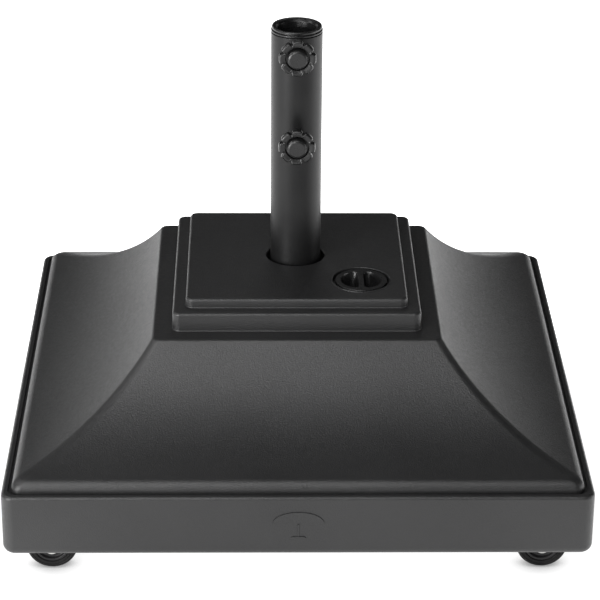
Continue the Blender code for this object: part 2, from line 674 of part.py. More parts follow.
def build_pedal(name, axis):
    """Brake pedal: a barrel on its pin, an arm that bends over the tyre, and a tread."""
    x, z = BRAKE_PIVOT
    outline = [(x + 0.0005, z + 0.0028), (x - 0.0020, z + 0.0020), (x - 0.0028, z),
               (x - 0.0020, z - 0.0022), (x + 0.0010, z - 0.0030), (x + 0.0030, z - 0.0052),
               (x + 0.0032, z - 0.0096), (x + 0.0200, z - 0.0150), (x + 0.0208, z - 0.0128),
               (x + 0.0047, z - 0.0076), (x + 0.0047, z - 0.0010), (x + 0.0030, z + 0.0016)]
    pedal = flat_plate(name, outline, [], 0.0190, ZINC_STEEL, axis)
    place_mesh(pedal, (0, 0, 0), SIDEWAYS)
    pin = add_object(f"{name}_pin_cutter", cylinder_mesh("pin", 0.0015, -0.0142, 0.0142, 10))
    pin.parent = axis
    place_mesh(pin, (x, 0, z), SIDEWAYS)
    boolean(pedal, pin, "UNION")
    return pedal


def build_caster(label, x, y, braked):
    """A plate caster. Its wheel trails outwards, to the side that it stands on."""
    swivel = add_empty(f"{label}_swivel", (x, y, 0.0), (0, 0, pi if x < 0 else 0.0))
    axle_axis = add_empty(f"{label}_axle_axis", (CASTER_TRAIL, 0, WHEEL_RADIUS),
                          (pi / 2, 0, 0), swivel)
    low = PLATE_TOP_Z - PLATE_THICKNESS
    holes = [circle((0, 0), 0.0054, 16)]
    holes += [circle(place, 0.0024, 8) for place in corner_places(SCREW_PLACE, SCREW_PLACE)]
    plate = flat_plate(f"{label}_caster_plate", rounded_square(PLATE_HALF, 0.005, 3), holes,
                       PLATE_THICKNESS, ZINC_STEEL, swivel)
    place_mesh(plate, (0, 0, PLATE_TOP_Z - PLATE_THICKNESS / 2))
    crown_low = CROWN_TOP_Z - CROWN_THICKNESS
    turned(f"{label}_kingpin", [(0.0, PLATE_TOP_Z - 0.0003), (0.0049, PLATE_TOP_Z - 0.0003),
                                (0.0049, crown_low - GAP), (0.0080, crown_low - GAP),
                                (0.0074, crown_low - 0.0024), (0.0, crown_low - 0.0030)],
           16, ZINC_STEEL, swivel)
    for number, place in enumerate(corner_places(SCREW_PLACE, SCREW_PLACE), 1):
        screw = turned(f"{label}_screw_{number}",
                       [(0.0, SCREW_TIP_Z), (0.0018, SCREW_TIP_Z - 0.0015), (0.0020, low - GAP),
                        (0.0044, low - GAP), (0.0040, low - 0.0018), (0.0, low - 0.0024)],
                       6, ZINC_STEEL, swivel)
        screw.location = (*place, 0.0)
    build_yoke(f"{label}_yoke", braked, swivel)
    outside = LEG_INNER + LEG_THICKNESS
    turned(f"{label}_axle", [(0.0, outside + 0.0022), (0.0058, outside + 0.0018),
                             (0.0062, outside + GAP), (0.0038, outside + GAP),
                             (0.0038, -outside - GAP), (0.0062, -outside - GAP),
                             (0.0058, -outside - 0.0018), (0.0, -outside - 0.0022)],
           10, ZINC_STEEL, axle_axis)
    build_wheel(label, axle_axis)
    if braked:
        build_pedal(f"{label}_brake_pedal", swivel)


# ---- The whole base -----------------------------------------------------------------------
def build_parasol_base():
    build_tank()
    tube_axis = build_tube()
    build_sleeve(tube_axis)
    for label, height in KNOB_HEIGHTS:
        build_knob(label, height, tube_axis)
    build_plug()
    for side, x in (("left", -CASTER_X), ("right", CASTER_X)):
        build_caster(f"front_{side}", x, -CASTER_Y, False)
        build_caster(f"rear_{side}", x, CASTER_Y, True)


build_parasol_base()
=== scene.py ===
"""Looks of the square parasol base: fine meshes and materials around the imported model."""

from math import atan2, cos, degrees, pi, radians, sin, sqrt, tan

import bmesh
import bpy
from mathutils import Matrix, Vector


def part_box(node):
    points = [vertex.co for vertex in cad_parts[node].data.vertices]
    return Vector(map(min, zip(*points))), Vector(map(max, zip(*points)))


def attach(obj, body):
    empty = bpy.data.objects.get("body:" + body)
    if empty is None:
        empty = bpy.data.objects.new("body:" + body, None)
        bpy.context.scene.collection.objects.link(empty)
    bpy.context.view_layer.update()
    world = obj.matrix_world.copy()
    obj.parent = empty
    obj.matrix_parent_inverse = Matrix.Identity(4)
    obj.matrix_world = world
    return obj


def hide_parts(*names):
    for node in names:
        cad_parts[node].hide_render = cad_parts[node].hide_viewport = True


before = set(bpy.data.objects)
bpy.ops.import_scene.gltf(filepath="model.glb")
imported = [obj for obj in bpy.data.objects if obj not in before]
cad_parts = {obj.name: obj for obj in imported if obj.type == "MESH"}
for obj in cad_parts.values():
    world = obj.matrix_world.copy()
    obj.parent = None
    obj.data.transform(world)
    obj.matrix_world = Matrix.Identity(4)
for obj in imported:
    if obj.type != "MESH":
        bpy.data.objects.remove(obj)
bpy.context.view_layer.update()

# ---- Places and sizes, read from the frame ----
TANK_LOW, TANK_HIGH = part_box("tank")
TUBE_LOW, TUBE_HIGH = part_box("centre_tube")
SLEEVE_LOW, SLEEVE_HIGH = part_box("reducer_sleeve")
PLUG_LOW, PLUG_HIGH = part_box("fill_plug")
HALF = TANK_HIGH.x
UNDERSIDE_Z = TANK_LOW.z
LIP_HEIGHT = 0.0008          # the lip round the fill opening stands this far above the plinth
PLINTH_Z = TANK_HIGH.z - LIP_HEIGHT
TUBE_RADIUS = (TUBE_HIGH.x - TUBE_LOW.x) / 2
PLUG_X = (PLUG_LOW.x + PLUG_HIGH.x) / 2
PLUG_Y = (PLUG_LOW.y + PLUG_HIGH.y) / 2

# ---- Sizes inside those boxes, in metres ----
GAP = 0.0003
SKIRT_TOP_Z = 0.1113
BASE_CORNER = 0.013
BOTTOM_FILLET = 0.009
LEDGE_FILLET = 0.0038
RIM_HALF = 0.290
RIM_ROLL = 0.012
RIM_CORNER = 0.0105
PLATEAU_HALF = 0.1506
PLATEAU_Z = 0.2148
PLATEAU_CORNER = 0.008
COVE_SAG = 0.0145
LOWER_PLINTH = (0.1305, 0.2352)
UPPER_PLINTH = (0.1166, PLINTH_Z)
PLINTH_FILLET = 0.0032
PLINTH_CORNER = 0.0080
TANK_WALL = 0.004
WELL_RADIUS = 0.0312
WELL_SNUG_RADIUS = 0.0277
WELL_FLOOR_Z = 0.062
NECK_BORE = 0.0245
COUNTERBORE_RADIUS = 0.0305
COUNTERBORE_Z = PLINTH_Z - 0.0026
GAP_FLOOR_RADIUS = 0.0284     # the gap round the plug is deeper outside this radius
LIP_RADIUS = 0.0325
GASKET_SEAT_RADIUS = 0.0277
GASKET_SEAT_Z = COUNTERBORE_Z - 0.0012
NECK_COLLAR_RADIUS = 0.0345
GAP_DEPTH = 0.0030            # of that deeper gap, below the counterbore's floor
BOLT_HOLE_RADIUS = 0.0055
BOLT_RECESS_RADIUS = 0.0200
TUBE_WALL = 0.0015
SLEEVE_BORE = 0.0192
SLOT_HALF = 0.0085
STUD_RADIUS = 0.0040
THREAD_PITCH = 0.00125
PLUG_PITCH = 0.004
CASTER_X = 0.237
CASTER_Y = 0.2415
CASTER_TRAIL = 0.017
WHEEL_RADIUS = 0.027
TYRE_HALF = 0.0095
POCKET_RADIUS = 0.048
PLATE_TOP_Z = 0.0650
PLATE_LOW_Z = 0.0625
CROWN_TOP_Z = 0.0600
CROWN_LOW_Z = 0.0575
LEG_INNER = 0.0112
LEG_OUTER = 0.0132
SCREW_PLACE = 0.0205
BRAKE_PIVOT = (CASTER_TRAIL + 0.0235, WHEEL_RADIUS + 0.0215)


UPRIGHT = Matrix.Rotation(pi / 2, 4, "X")      # turns what points up to point to the front

# ---- Shape helpers ----
def new_piece(name, mesh):
    item = bpy.data.objects.new(name, mesh)
    bpy.context.scene.collection.objects.link(item)
    return item


def mesh_from(name, verts, faces):
    mesh = bpy.data.meshes.new(name)
    mesh.from_pydata(verts, [], faces)
    weld_close(mesh, 0.0000005)
    return mesh


def weld_close(mesh, distance):
    """Merges points closer than the distance and turns every face outwards."""
    work = bmesh.new()
    work.from_mesh(mesh)
    bmesh.ops.remove_doubles(work, verts=work.verts, dist=distance)
    bmesh.ops.recalc_face_normals(work, faces=work.faces)
    work.to_mesh(mesh)
    work.free()


def arc(centre, radius, start, end, steps):
    """Points along an arc, angles in degrees, both ends included."""
    turn = [radians(start + (end - start) * step / steps) for step in range(steps + 1)]
    return [(centre[0] + radius * cos(angle), centre[1] + radius * sin(angle)) for angle in turn]


def rounded(points, steps=4, closed=True):
    """The outline with each corner (x, y, radius) replaced by an arc of that radius."""
    result = []
    count = len(points)
    for index, (x, y, radius) in enumerate(points):
        at_end = not closed and index in (0, count - 1)
        if radius <= 0 or at_end:
            result.append((x, y))
            continue
        here = Vector((x, y))
        to_last = Vector(points[index - 1][:2]) - here
        to_next = Vector(points[(index + 1) % count][:2]) - here
        half = to_last.angle(to_next) / 2
        if half > radians(89):
            result.append((x, y))
            continue
        reach = min(radius / tan(half), to_last.length * 0.49, to_next.length * 0.49)
        size = reach * tan(half)
        first = here + to_last.normalized() * reach
        between = (to_last.normalized() + to_next.normalized()).normalized()
        middle = here + between * size / sin(half)
        last = here + to_next.normalized() * reach
        start = first - middle
        sweep = start.angle_signed(last - middle)
        for step in range(steps + 1):
            angle = -sweep * step / steps
            spoke = Vector((start.x * cos(angle) - start.y * sin(angle),
                            start.x * sin(angle) + start.y * cos(angle)))
            result.append(tuple(middle + spoke))
    return result


def loops_to_mesh(name, loops, capped=True, ring=False):
    """Joins loops of equal length; capped closes the ends, ring joins the last to the first."""
    count = len(loops[0])
    verts = [point for loop in loops for point in loop]
    faces = []
    pairs = list(range(len(loops) - 1)) + ([len(loops) - 1] if ring else [])
    for low in pairs:
        high = (low + 1) % len(loops)
        for index in range(count):
            after = (index + 1) % count
            faces.append((low * count + index, low * count + after,
                          high * count + after, high * count + index))
    if capped and not ring:
        faces.append(tuple(reversed(range(count))))
        faces.append(tuple(range(len(verts) - count, len(verts))))
    return mesh_from(name, verts, faces)


def turned(name, profile, steps=64, matrix=None):
    """A body of revolution about Z from a profile of (radius, z). A profile that starts on the
    axis is a solid one; any other is a ring."""
    solid = profile[0][0] <= 0
    inner = profile[1:-1] if solid else profile
    loops = [[(radius * cos(2 * pi * step / steps), radius * sin(2 * pi * step / steps), z)
              for step in range(steps)] for radius, z in inner]
    mesh = loops_to_mesh(name, loops, capped=solid, ring=not solid)
    if matrix is not None:
        mesh.transform(matrix)
    return new_piece(name, mesh)


def turned_solid(name, corners, steps=64, matrix=None):
    """turned() on a solid profile given as corners (radius, z, fillet), top to bottom."""
    return turned(name, rounded(corners, closed=False), steps, matrix)


def turned_ring(name, corners, steps=64, matrix=None):
    """turned() on a closed ring profile given as corners (radius, z, fillet)."""
    return turned(name, rounded(corners), steps, matrix)


def threaded(name, radius, depth, low, high, pitch, steps=32, rows=8, crest=0.35):
    """A rod about Z with a helical thread that runs out at both ends."""
    count = max(2, round((high - low) / pitch * rows))
    loops = []
    for row in range(count + 1):
        z = low + (high - low) * row / count
        fade = min(1.0, (z - low) / pitch, (high - z) / pitch)
        loop = []
        for step in range(steps):
            phase = (z / pitch - step / steps) % 1.0
            height = min(1.0, max(0.0, (abs(phase - 0.5) * 2 - crest / 2) / (1 - crest)))
            size = radius - depth * (1 - fade * (1 - height))
            angle = 2 * pi * step / steps
            loop.append((size * cos(angle), size * sin(angle), z))
        loops.append(loop)
    return new_piece(name, loops_to_mesh(name, loops))


def flat_plate(name, outline, holes, thickness, bevel=0.0003, segments=2, matrix=None):
    """A flat outline in XY with holes, centred on Z = 0, with softened edges."""
    curve = bpy.data.curves.new(name, "CURVE")
    curve.dimensions = "2D"
    curve.fill_mode = "BOTH"
    curve.extrude = thickness / 2
    for loop in [outline, *holes]:
        spline = curve.splines.new("POLY")
        spline.points.add(len(loop) - 1)
        for point, (x, y) in zip(spline.points, loop):
            point.co = (x, y, 0.0, 1.0)
        spline.use_cyclic_u = True
    item = bpy.data.objects.new(name, curve)
    bpy.context.scene.collection.objects.link(item)
    mesh = baked_mesh(item, weld=0.000002)
    bpy.data.objects.remove(item)
    bpy.data.curves.remove(curve)
    dissolve_flat(mesh)
    item = new_piece(name, mesh)
    if bevel:
        soften(item, bevel, segments)
    if matrix is not None:
        item.data.transform(matrix)
    return item


def dissolve_flat(mesh):
    work = bmesh.new()
    work.from_mesh(mesh)
    bmesh.ops.recalc_face_normals(work, faces=work.faces)
    bmesh.ops.dissolve_limit(work, angle_limit=radians(0.5), verts=[], edges=work.edges)
    work.to_mesh(mesh)
    work.free()


def baked_mesh(item, weld=0.0):
    """The item's mesh with its modifiers applied, and points closer than weld merged."""
    bpy.context.view_layer.update()
    mesh = bpy.data.meshes.new_from_object(
        item.evaluated_get(bpy.context.evaluated_depsgraph_get()))
    if weld:
        weld_close(mesh, weld)
    return mesh


def settle(item):
    """Applies the item's modifiers to its mesh."""
    mesh = baked_mesh(item)
    item.modifiers.clear()
    item.data = mesh
    return item


def soften(item, width, segments):
    """Rounds the edges that are sharper than 40 degrees."""
    bevel = item.modifiers.new("edge", "BEVEL")
    bevel.width = width
    bevel.segments = segments
    bevel.limit_method = "ANGLE"
    bevel.angle_limit = radians(40)
    bevel.use_clamp_overlap = True
    return settle(item)


def combine(item, others, operation="DIFFERENCE"):
    """Cuts or joins the others with the item, and removes them."""
    for other in others:
        modifier = item.modifiers.new("join", "BOOLEAN")
        modifier.operation = operation
        modifier.solver = "EXACT"
        modifier.object = other
    settle(item)
    for other in others:
        bpy.data.objects.remove(other, do_unlink=True)
    return item


def join_loose(item, others):
    """Puts the others' separate bodies into the item's mesh."""
    work = bmesh.new()
    work.from_mesh(item.data)
    for other in others:
        work.from_mesh(other.data)
        bpy.data.objects.remove(other, do_unlink=True)
    work.to_mesh(item.data)
    work.free()
    return item


def smooth(item, angle=32):
    item.data.shade_smooth()
    item.data.set_sharp_from_angle(angle=radians(angle))
    weighted = item.modifiers.new("weighted", "WEIGHTED_NORMAL")
    weighted.keep_sharp = True
    weighted.weight = 60
    settle(item)
    return item


def copy_piece(item, name, matrix):
    twin = bpy.data.objects.new(name, item.data.copy())
    bpy.context.scene.collection.objects.link(twin)
    twin.data.transform(matrix)
    return twin


def dress(item, material, body, nodes=()):
    """Gives a finished piece its material and body, and hides the CAD nodes it stands for."""
    item.data.materials.clear()
    item.data.materials.append(material)
    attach(item, body)
    if nodes:
        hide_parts(*nodes)
    return item


# ---- Materials ----
class Surface:
    """A Principled material whose colour, roughness and bump come from small node chains."""

    def __init__(self, name, roughness=0.5, metallic=0.0, ior=1.5):
        self.material = bpy.data.materials.new(name)
        self.material.use_nodes = True
        self.nodes = self.material.node_tree.nodes
        self.links = self.material.node_tree.links
        self.shader = self.nodes["Principled BSDF"]
        self.shader.inputs["Roughness"].default_value = roughness
        self.shader.inputs["Metallic"].default_value = metallic
        self.shader.inputs["IOR"].default_value = ior
        self.place = self.nodes.new("ShaderNodeTexCoord").outputs["Object"]
        self.normal = None

    def scaled_place(self, scale):
        mapping = self.nodes.new("ShaderNodeMapping")
        mapping.inputs["Scale"].default_value = scale
        self.links.new(self.place, mapping.inputs["Vector"])
        return mapping.outputs["Vector"]

    def noise(self, scale, detail=3.0, rough=0.55, stretch=None):
        node = self.nodes.new("ShaderNodeTexNoise")
        node.inputs["Scale"].default_value = scale
        node.inputs["Detail"].default_value = detail
        node.inputs["Roughness"].default_value = rough
        source = self.scaled_place(stretch) if stretch else self.place
        self.links.new(source, node.inputs["Vector"])
        return node.outputs["Fac"]

    def cells(self, scale):
        node = self.nodes.new("ShaderNodeTexVoronoi")
        node.inputs["Scale"].default_value = scale
        self.links.new(self.place, node.inputs["Vector"])
        return node.outputs["Distance"]

    def remap(self, value, low, high, from_low=0.3, from_high=0.7):
        node = self.nodes.new("ShaderNodeMapRange")
        node.inputs["From Min"].default_value = from_low
        node.inputs["From Max"].default_value = from_high
        node.inputs["To Min"].default_value = low
        node.inputs["To Max"].default_value = high
        self.links.new(value, node.inputs["Value"])
        return node.outputs["Result"]

    def colour(self, value, dark, light, low=0.35, high=0.65):
        ramp = self.nodes.new("ShaderNodeValToRGB")
        ramp.color_ramp.elements[0].position = low
        ramp.color_ramp.elements[0].color = (*dark, 1.0)
        ramp.color_ramp.elements[1].position = high
        ramp.color_ramp.elements[1].color = (*light, 1.0)
        self.links.new(value, ramp.inputs["Fac"])
        self.links.new(ramp.outputs["Color"], self.shader.inputs["Base Color"])
        return ramp.outputs["Color"]

    def roughness(self, value, low, high):
        self.links.new(self.remap(value, low, high), self.shader.inputs["Roughness"])

    def bump(self, value, strength, distance):
        node = self.nodes.new("ShaderNodeBump")
        node.inputs["Strength"].default_value = strength
        node.inputs["Distance"].default_value = distance
        self.links.new(value, node.inputs["Height"])
        if self.normal is not None:
            self.links.new(self.normal, node.inputs["Normal"])
        self.normal = node.outputs["Normal"]
        self.links.new(self.normal, self.shader.inputs["Normal"])


def tank_plastic():
    """Charcoal polyethylene with a fine blasted-mould grain and faint waves of the wall."""
    look = Surface("tank_polyethylene")
    look.colour(look.noise(9.0, 4.0), (0.0105, 0.0105, 0.0108), (0.0135, 0.0135, 0.0138))
    look.roughness(look.noise(260.0, 3.0), 0.37, 0.47)
    look.bump(look.noise(22.0, 2.0), 0.10, 0.0010)
    look.bump(look.noise(620.0, 4.0, 0.65), 0.60, 0.00070)
    return look.material


def black_plastic(name, low, high):
    """Injection-moulded black plastic, satin, with a faint spark-eroded texture."""
    look = Surface(name, ior=1.46)
    look.colour(look.noise(60.0, 3.0), (0.0060, 0.0060, 0.0062), (0.0090, 0.0090, 0.0092))
    look.roughness(look.noise(500.0, 2.0), low, high)
    look.bump(look.noise(1500.0, 3.0), 0.05, 0.00010)
    return look.material


def powder_coat():
    """Black powder coat on steel: fine orange peel with a soft sheen."""
    look = Surface("powder_coat", ior=1.34)
    look.colour(look.noise(40.0, 3.0), (0.0050, 0.0050, 0.0052), (0.0070, 0.0070, 0.0072))
    look.roughness(look.noise(420.0, 3.0), 0.34, 0.44)
    look.bump(look.cells(900.0), 0.14, 0.00018)
    look.bump(look.noise(2200.0, 2.0), 0.10, 0.00010)
    return look.material


def zinc_plate():
    """Zinc-plated steel with drawn streaks and cloudy passivation."""
    look = Surface("zinc_plate", metallic=1.0)
    look.colour(look.noise(70.0, 4.0), (0.42, 0.42, 0.41), (0.60, 0.60, 0.58))
    look.roughness(look.noise(300.0, 4.0, stretch=(1.0, 1.0, 12.0)), 0.24, 0.42)
    look.bump(look.noise(800.0, 3.0, stretch=(1.0, 1.0, 10.0)), 0.08, 0.00012)
    return look.material


def rubber(name, shade):
    """Black rubber with a dusty bloom and fine pores."""
    look = Surface(name, ior=1.30)
    look.colour(look.noise(150.0, 5.0), (shade, shade, shade),
                (shade * 2.0, shade * 2.0, shade * 1.95))
    look.roughness(look.noise(700.0, 3.0), 0.58, 0.78)
    look.bump(look.noise(1800.0, 4.0), 0.25, 0.00020)
    return look.material


def wheel_plastic():
    """Dark glass-filled nylon of the wheel's core."""
    look = Surface("wheel_nylon", ior=1.36)
    look.colour(look.noise(120.0, 3.0), (0.008, 0.008, 0.0085), (0.012, 0.012, 0.0125))
    look.roughness(look.noise(600.0, 3.0), 0.34, 0.48)
    look.bump(look.noise(1300.0, 3.0), 0.12, 0.00015)
    return look.material


TANK_LOOK = tank_plastic()
SATIN_LOOK = black_plastic("satin_black_plastic", 0.26, 0.34)
KNOB_LOOK = black_plastic("knob_plastic", 0.26, 0.38)
COAT_LOOK = powder_coat()
ZINC_LOOK = zinc_plate()
RUBBER_LOOK = rubber("seal_rubber", 0.006)
TYRE_LOOK = rubber("tyre_rubber", 0.004)
NYLON_LOOK = wheel_plastic()


# ---- Tank ----
def rounded_square(half, corner, z, steps):
    """A loop round a square with rounded corners, at one height."""
    inner = half - corner
    return [(u, v, z) for quarter, (x, y) in enumerate(((1, 1), (-1, 1), (-1, -1), (1, -1)))
            for u, v in arc((x * inner, y * inner), corner, 90 * quarter, 90 * quarter + 90, steps)]


def cove_points(offset, steps):
    """The concave slope from the rim's roll to the plateau's edge, bottom up."""
    foot = Vector((RIM_HALF - RIM_ROLL * (1 - cos(radians(74))),
                   SKIRT_TOP_Z + RIM_ROLL * sin(radians(74))))
    head = Vector((PLATEAU_HALF, PLATEAU_Z))
    chord = head - foot
    radius = (chord.length / 2) ** 2 / (2 * COVE_SAG) + COVE_SAG / 2
    normal = Vector((-chord.y, chord.x)).normalized()
    normal = normal if normal.y > 0 else -normal
    centre = (foot + head) / 2 + normal * (radius - COVE_SAG)
    start = atan2(foot.y - centre.y, foot.x - centre.x)
    end = atan2(head.y - centre.y, head.x - centre.x)
    angles = [start + (end - start) * step / steps for step in range(steps + 1)]
    return [(centre.x + (radius + offset) * cos(angle), centre.y + (radius + offset) * sin(angle))
            for angle in angles]


def plinth_rings(half, low, high):
    """A plinth step: a small root fillet, an upright wall and a rounded top edge."""
    root = arc((half + 0.0012, low + 0.0012), 0.0012, 270, 180, 3)
    edge = arc((half - PLINTH_FILLET, high - PLINTH_FILLET), PLINTH_FILLET, 0, 90, 8)
    return [(x, z, PLINTH_CORNER + x - half) for x, z in root + edge]


def tank_outside():
    """The shell's outer rings (half side, height, corner radius), bottom up."""
    skirt = arc((HALF - BOTTOM_FILLET, UNDERSIDE_Z + BOTTOM_FILLET), BOTTOM_FILLET, -90, 0, 8)
    skirt += arc((HALF - LEDGE_FILLET, SKIRT_TOP_Z - LEDGE_FILLET), LEDGE_FILLET, 0, 90, 7)
    rings = [(x, z, BASE_CORNER - HALF + x) for x, z in skirt]
    groove_z = SKIRT_TOP_Z - 0.003
    rim = [(RIM_HALF + 0.0036, SKIRT_TOP_Z), (RIM_HALF + 0.0032, SKIRT_TOP_Z - 0.0004),
           (RIM_HALF + 0.0030, groove_z), (RIM_HALF + 0.0002, groove_z)]
    rim += arc((RIM_HALF - RIM_ROLL, SKIRT_TOP_Z), RIM_ROLL, 0, 70, 12)
    rings += [(x, z, RIM_CORNER) for x, z in rim]
    steps = 34
    slope = cove_points(0.0, steps)
    rings += [(x, z, RIM_CORNER + (PLATEAU_CORNER - RIM_CORNER) * step / steps)
              for step, (x, z) in enumerate(slope[:-1])]
    edge = rounded([(*slope[-2], 0), (*slope[-1], 0.006), (PLATEAU_HALF - 0.010, PLATEAU_Z, 0)],
                   7, closed=False)
    rings += [(x, z, 0.0075 + (x - PLATEAU_HALF) * 0.4) for x, z in edge[1:-1]]
    rings += plinth_rings(LOWER_PLINTH[0], PLATEAU_Z, LOWER_PLINTH[1])
    rings += plinth_rings(UPPER_PLINTH[0], LOWER_PLINTH[1], UPPER_PLINTH[1])
    return rings


def tank_inside():
    half = HALF - TANK_WALL
    ledge_z = SKIRT_TOP_Z - 0.003 - TANK_WALL
    rings = [(half - 0.008, UNDERSIDE_Z + TANK_WALL, 0.006), (half, UNDERSIDE_Z + 0.012, 0.009),
             (half, ledge_z - 0.002, 0.009), (half - 0.003, ledge_z, 0.009),
             (RIM_HALF - TANK_WALL - 0.001, ledge_z, 0.008)]
    slope = cove_points(TANK_WALL, 8)
    rings += [(x, z, 0.006) for x, z in slope[:-1]]
    rings.append((PLATEAU_HALF - TANK_WALL, PLATEAU_Z - TANK_WALL, 0.005))
    for (half, high), low in ((LOWER_PLINTH, PLATEAU_Z), (UPPER_PLINTH, LOWER_PLINTH[1])):
        rings.append((half - TANK_WALL, low - TANK_WALL + GAP, 0.004))
        rings.append((half - TANK_WALL, high - TANK_WALL, 0.004))
    return rings


def square_loft(name, rings, steps=9):
    loops = [rounded_square(half, corner, z, steps) for half, z, corner in rings]
    return new_piece(name, loops_to_mesh(name, loops))


def corner_places(x, y):
    return [(side_x * x, side_y * y) for side_x in (-1, 1) for side_y in (-1, 1)]


def cylinder(name, x, y, radius, low, high, steps=48):
    return turned(name, [(0, high), (radius, high), (radius, low), (0, low)], steps,
                  Matrix.Translation((x, y, 0)))


def build_tank():
    tank = square_loft("tank_shell", tank_outside())
    hollow = square_loft("hollow", tank_inside(), 3)
    below = UNDERSIDE_Z - 0.01
    above = PLINTH_Z + 0.01
    posts = [cylinder("post", x, y, POCKET_RADIUS + TANK_WALL, below, PLATE_TOP_Z + 0.014)
             for x, y in corner_places(CASTER_X, CASTER_Y)]
    posts += [cylinder("column", 0, 0, WELL_RADIUS + TANK_WALL, below, above),
              cylinder("neck", PLUG_X, PLUG_Y, NECK_BORE + TANK_WALL, PLINTH_Z - 0.020, above),
              cylinder("neck_collar", PLUG_X, PLUG_Y, NECK_COLLAR_RADIUS, PLINTH_Z - 0.010, above)]
    combine(hollow, posts)
    combine(tank, [hollow])
    at_plug = Matrix.Translation((PLUG_X, PLUG_Y, 0))
    lip_top = PLINTH_Z + LIP_HEIGHT
    raised = turned_ring("fill_lip", [(LIP_RADIUS, lip_top, 0.0005),
                                      (LIP_RADIUS, PLINTH_Z - 0.002, 0),
                                      (LIP_RADIUS - 0.003, PLINTH_Z - 0.002, 0),
                                      (LIP_RADIUS - 0.003, lip_top, 0)], 96, at_plug)
    combine(tank, [raised], "UNION")
    cuts = []
    lip = 0.0012
    shelf = PLINTH_Z - 0.016
    well = [(0, above, 0), (WELL_RADIUS + lip + 0.006, above, 0),
            (WELL_RADIUS + lip + 0.006, PLINTH_Z + 0.001, 0), (WELL_RADIUS + lip, PLINTH_Z, 0),
            (WELL_RADIUS, PLINTH_Z - lip, 0.002), (WELL_RADIUS, shelf, 0.001),
            (WELL_SNUG_RADIUS, shelf - 0.004, 0.001), (WELL_SNUG_RADIUS, WELL_FLOOR_Z, 0.001),
            (0, WELL_FLOOR_Z, 0)]
    cuts.append(turned_solid("well", well, 96))
    mouth = COUNTERBORE_RADIUS + 0.0005
    fill = [(0, above, 0), (mouth, above, 0), (mouth, lip_top + 0.0002, 0),
            (COUNTERBORE_RADIUS, lip_top - 0.0004, 0),
            (COUNTERBORE_RADIUS, COUNTERBORE_Z - GAP_DEPTH, 0.0005),
            (GAP_FLOOR_RADIUS, COUNTERBORE_Z - GAP_DEPTH, 0.0004),
            (GAP_FLOOR_RADIUS, COUNTERBORE_Z, 0.0003),
            (GASKET_SEAT_RADIUS, COUNTERBORE_Z, 0.0002), (GASKET_SEAT_RADIUS, GASKET_SEAT_Z, 0),
            (NECK_BORE, GASKET_SEAT_Z, 0.0004), (NECK_BORE, PLINTH_Z - 0.024, 0),
            (0, PLINTH_Z - 0.024, 0)]
    cuts.append(turned_solid("fill", fill, 96, at_plug))
    bolt = [(0, WELL_FLOOR_Z + 0.005, 0), (BOLT_HOLE_RADIUS, WELL_FLOOR_Z + 0.005, 0),
            (BOLT_HOLE_RADIUS, WELL_FLOOR_Z - 0.008, 0),
            (BOLT_RECESS_RADIUS, WELL_FLOOR_Z - 0.008, 0.001),
            (BOLT_RECESS_RADIUS, UNDERSIDE_Z + 0.001, 0.001), (0.0216, UNDERSIDE_Z - 0.0006, 0),
            (0.0216, below, 0), (0, below, 0)]
    cuts.append(turned_solid("bolt_recess", bolt, 64))
    for number, (x, y) in enumerate(corner_places(CASTER_X, CASTER_Y)):
        pocket = [(0, PLATE_TOP_Z + GAP, 0), (POCKET_RADIUS, PLATE_TOP_Z + GAP, 0.003),
                  (POCKET_RADIUS, UNDERSIDE_Z + 0.001, 0.0015),
                  (POCKET_RADIUS + 0.0016, UNDERSIDE_Z - 0.0006, 0),
                  (POCKET_RADIUS + 0.0016, below, 0), (0, below, 0)]
        cuts.append(turned_solid(f"pocket_{number}", pocket, 64, Matrix.Translation((x, y, 0))))
        for shift_x, shift_y in corner_places(SCREW_PLACE, SCREW_PLACE):
            cuts.append(cylinder("pilot", x + shift_x, y + shift_y, 0.0023,
                                 PLATE_TOP_Z - 0.004, 0.0745, 12))
    combine(tank, cuts)
    smooth(tank, 30)
    dress(tank, TANK_LOOK, "root", ["tank"])


def build_emblem():
    """A plain parasol pictogram, raised on the middle of the skirt's front."""
    width, height, raised = 0.026, 0.013, 0.0009
    centre_z = (SKIRT_TOP_Z + UNDERSIDE_Z) / 2 + 0.004
    top = arc((0, 0), 1.0, 0, 180, 24)
    outline = [(x * width, y * height) for x, y in top]
    scallops = 4
    span = 2 * width / scallops
    for scallop in range(scallops):
        middle = -width + span * (scallop + 0.5)
        outline += [(middle - span / 2 * cos(radians(angle)), 0.0022 * sin(radians(angle)))
                    for angle in range(20, 180, 20)]
        outline.append((middle + span / 2, 0))
    canopy = outline[:-1]
    stem = [(-0.0008, -0.0150), (0.0008, -0.0150), (0.0008, -0.0006), (-0.0008, -0.0006)]
    foot = rounded([(-0.0090, -0.0172, 0.0008), (0.0090, -0.0172, 0.0008),
                    (0.0060, -0.0152, 0.0008), (-0.0060, -0.0152, 0.0008)], 3)
    on_front = Matrix.Translation((0, -HALF, centre_z)) @ UPRIGHT
    parts = [flat_plate(f"emblem_{number}", shape, [], 2 * raised, 0.0003, 2, on_front)
             for number, shape in enumerate((canopy, stem, foot))]
    emblem = join_loose(parts[0], parts[1:])
    emblem.name = "skirt_emblem"
    smooth(emblem, 30)
    dress(emblem, TANK_LOOK, "root")


# ---- Socket tube and reducer sleeve ----
def knob_matrix(height):
    return Matrix.Translation((0, 0, height)) @ UPRIGHT


def knob_height(label):
    low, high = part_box(f"{label}_clamp_stud")
    return (low.z + high.z) / 2


KNOB_HEIGHTS = {label: knob_height(label) for label in ("upper", "lower")}


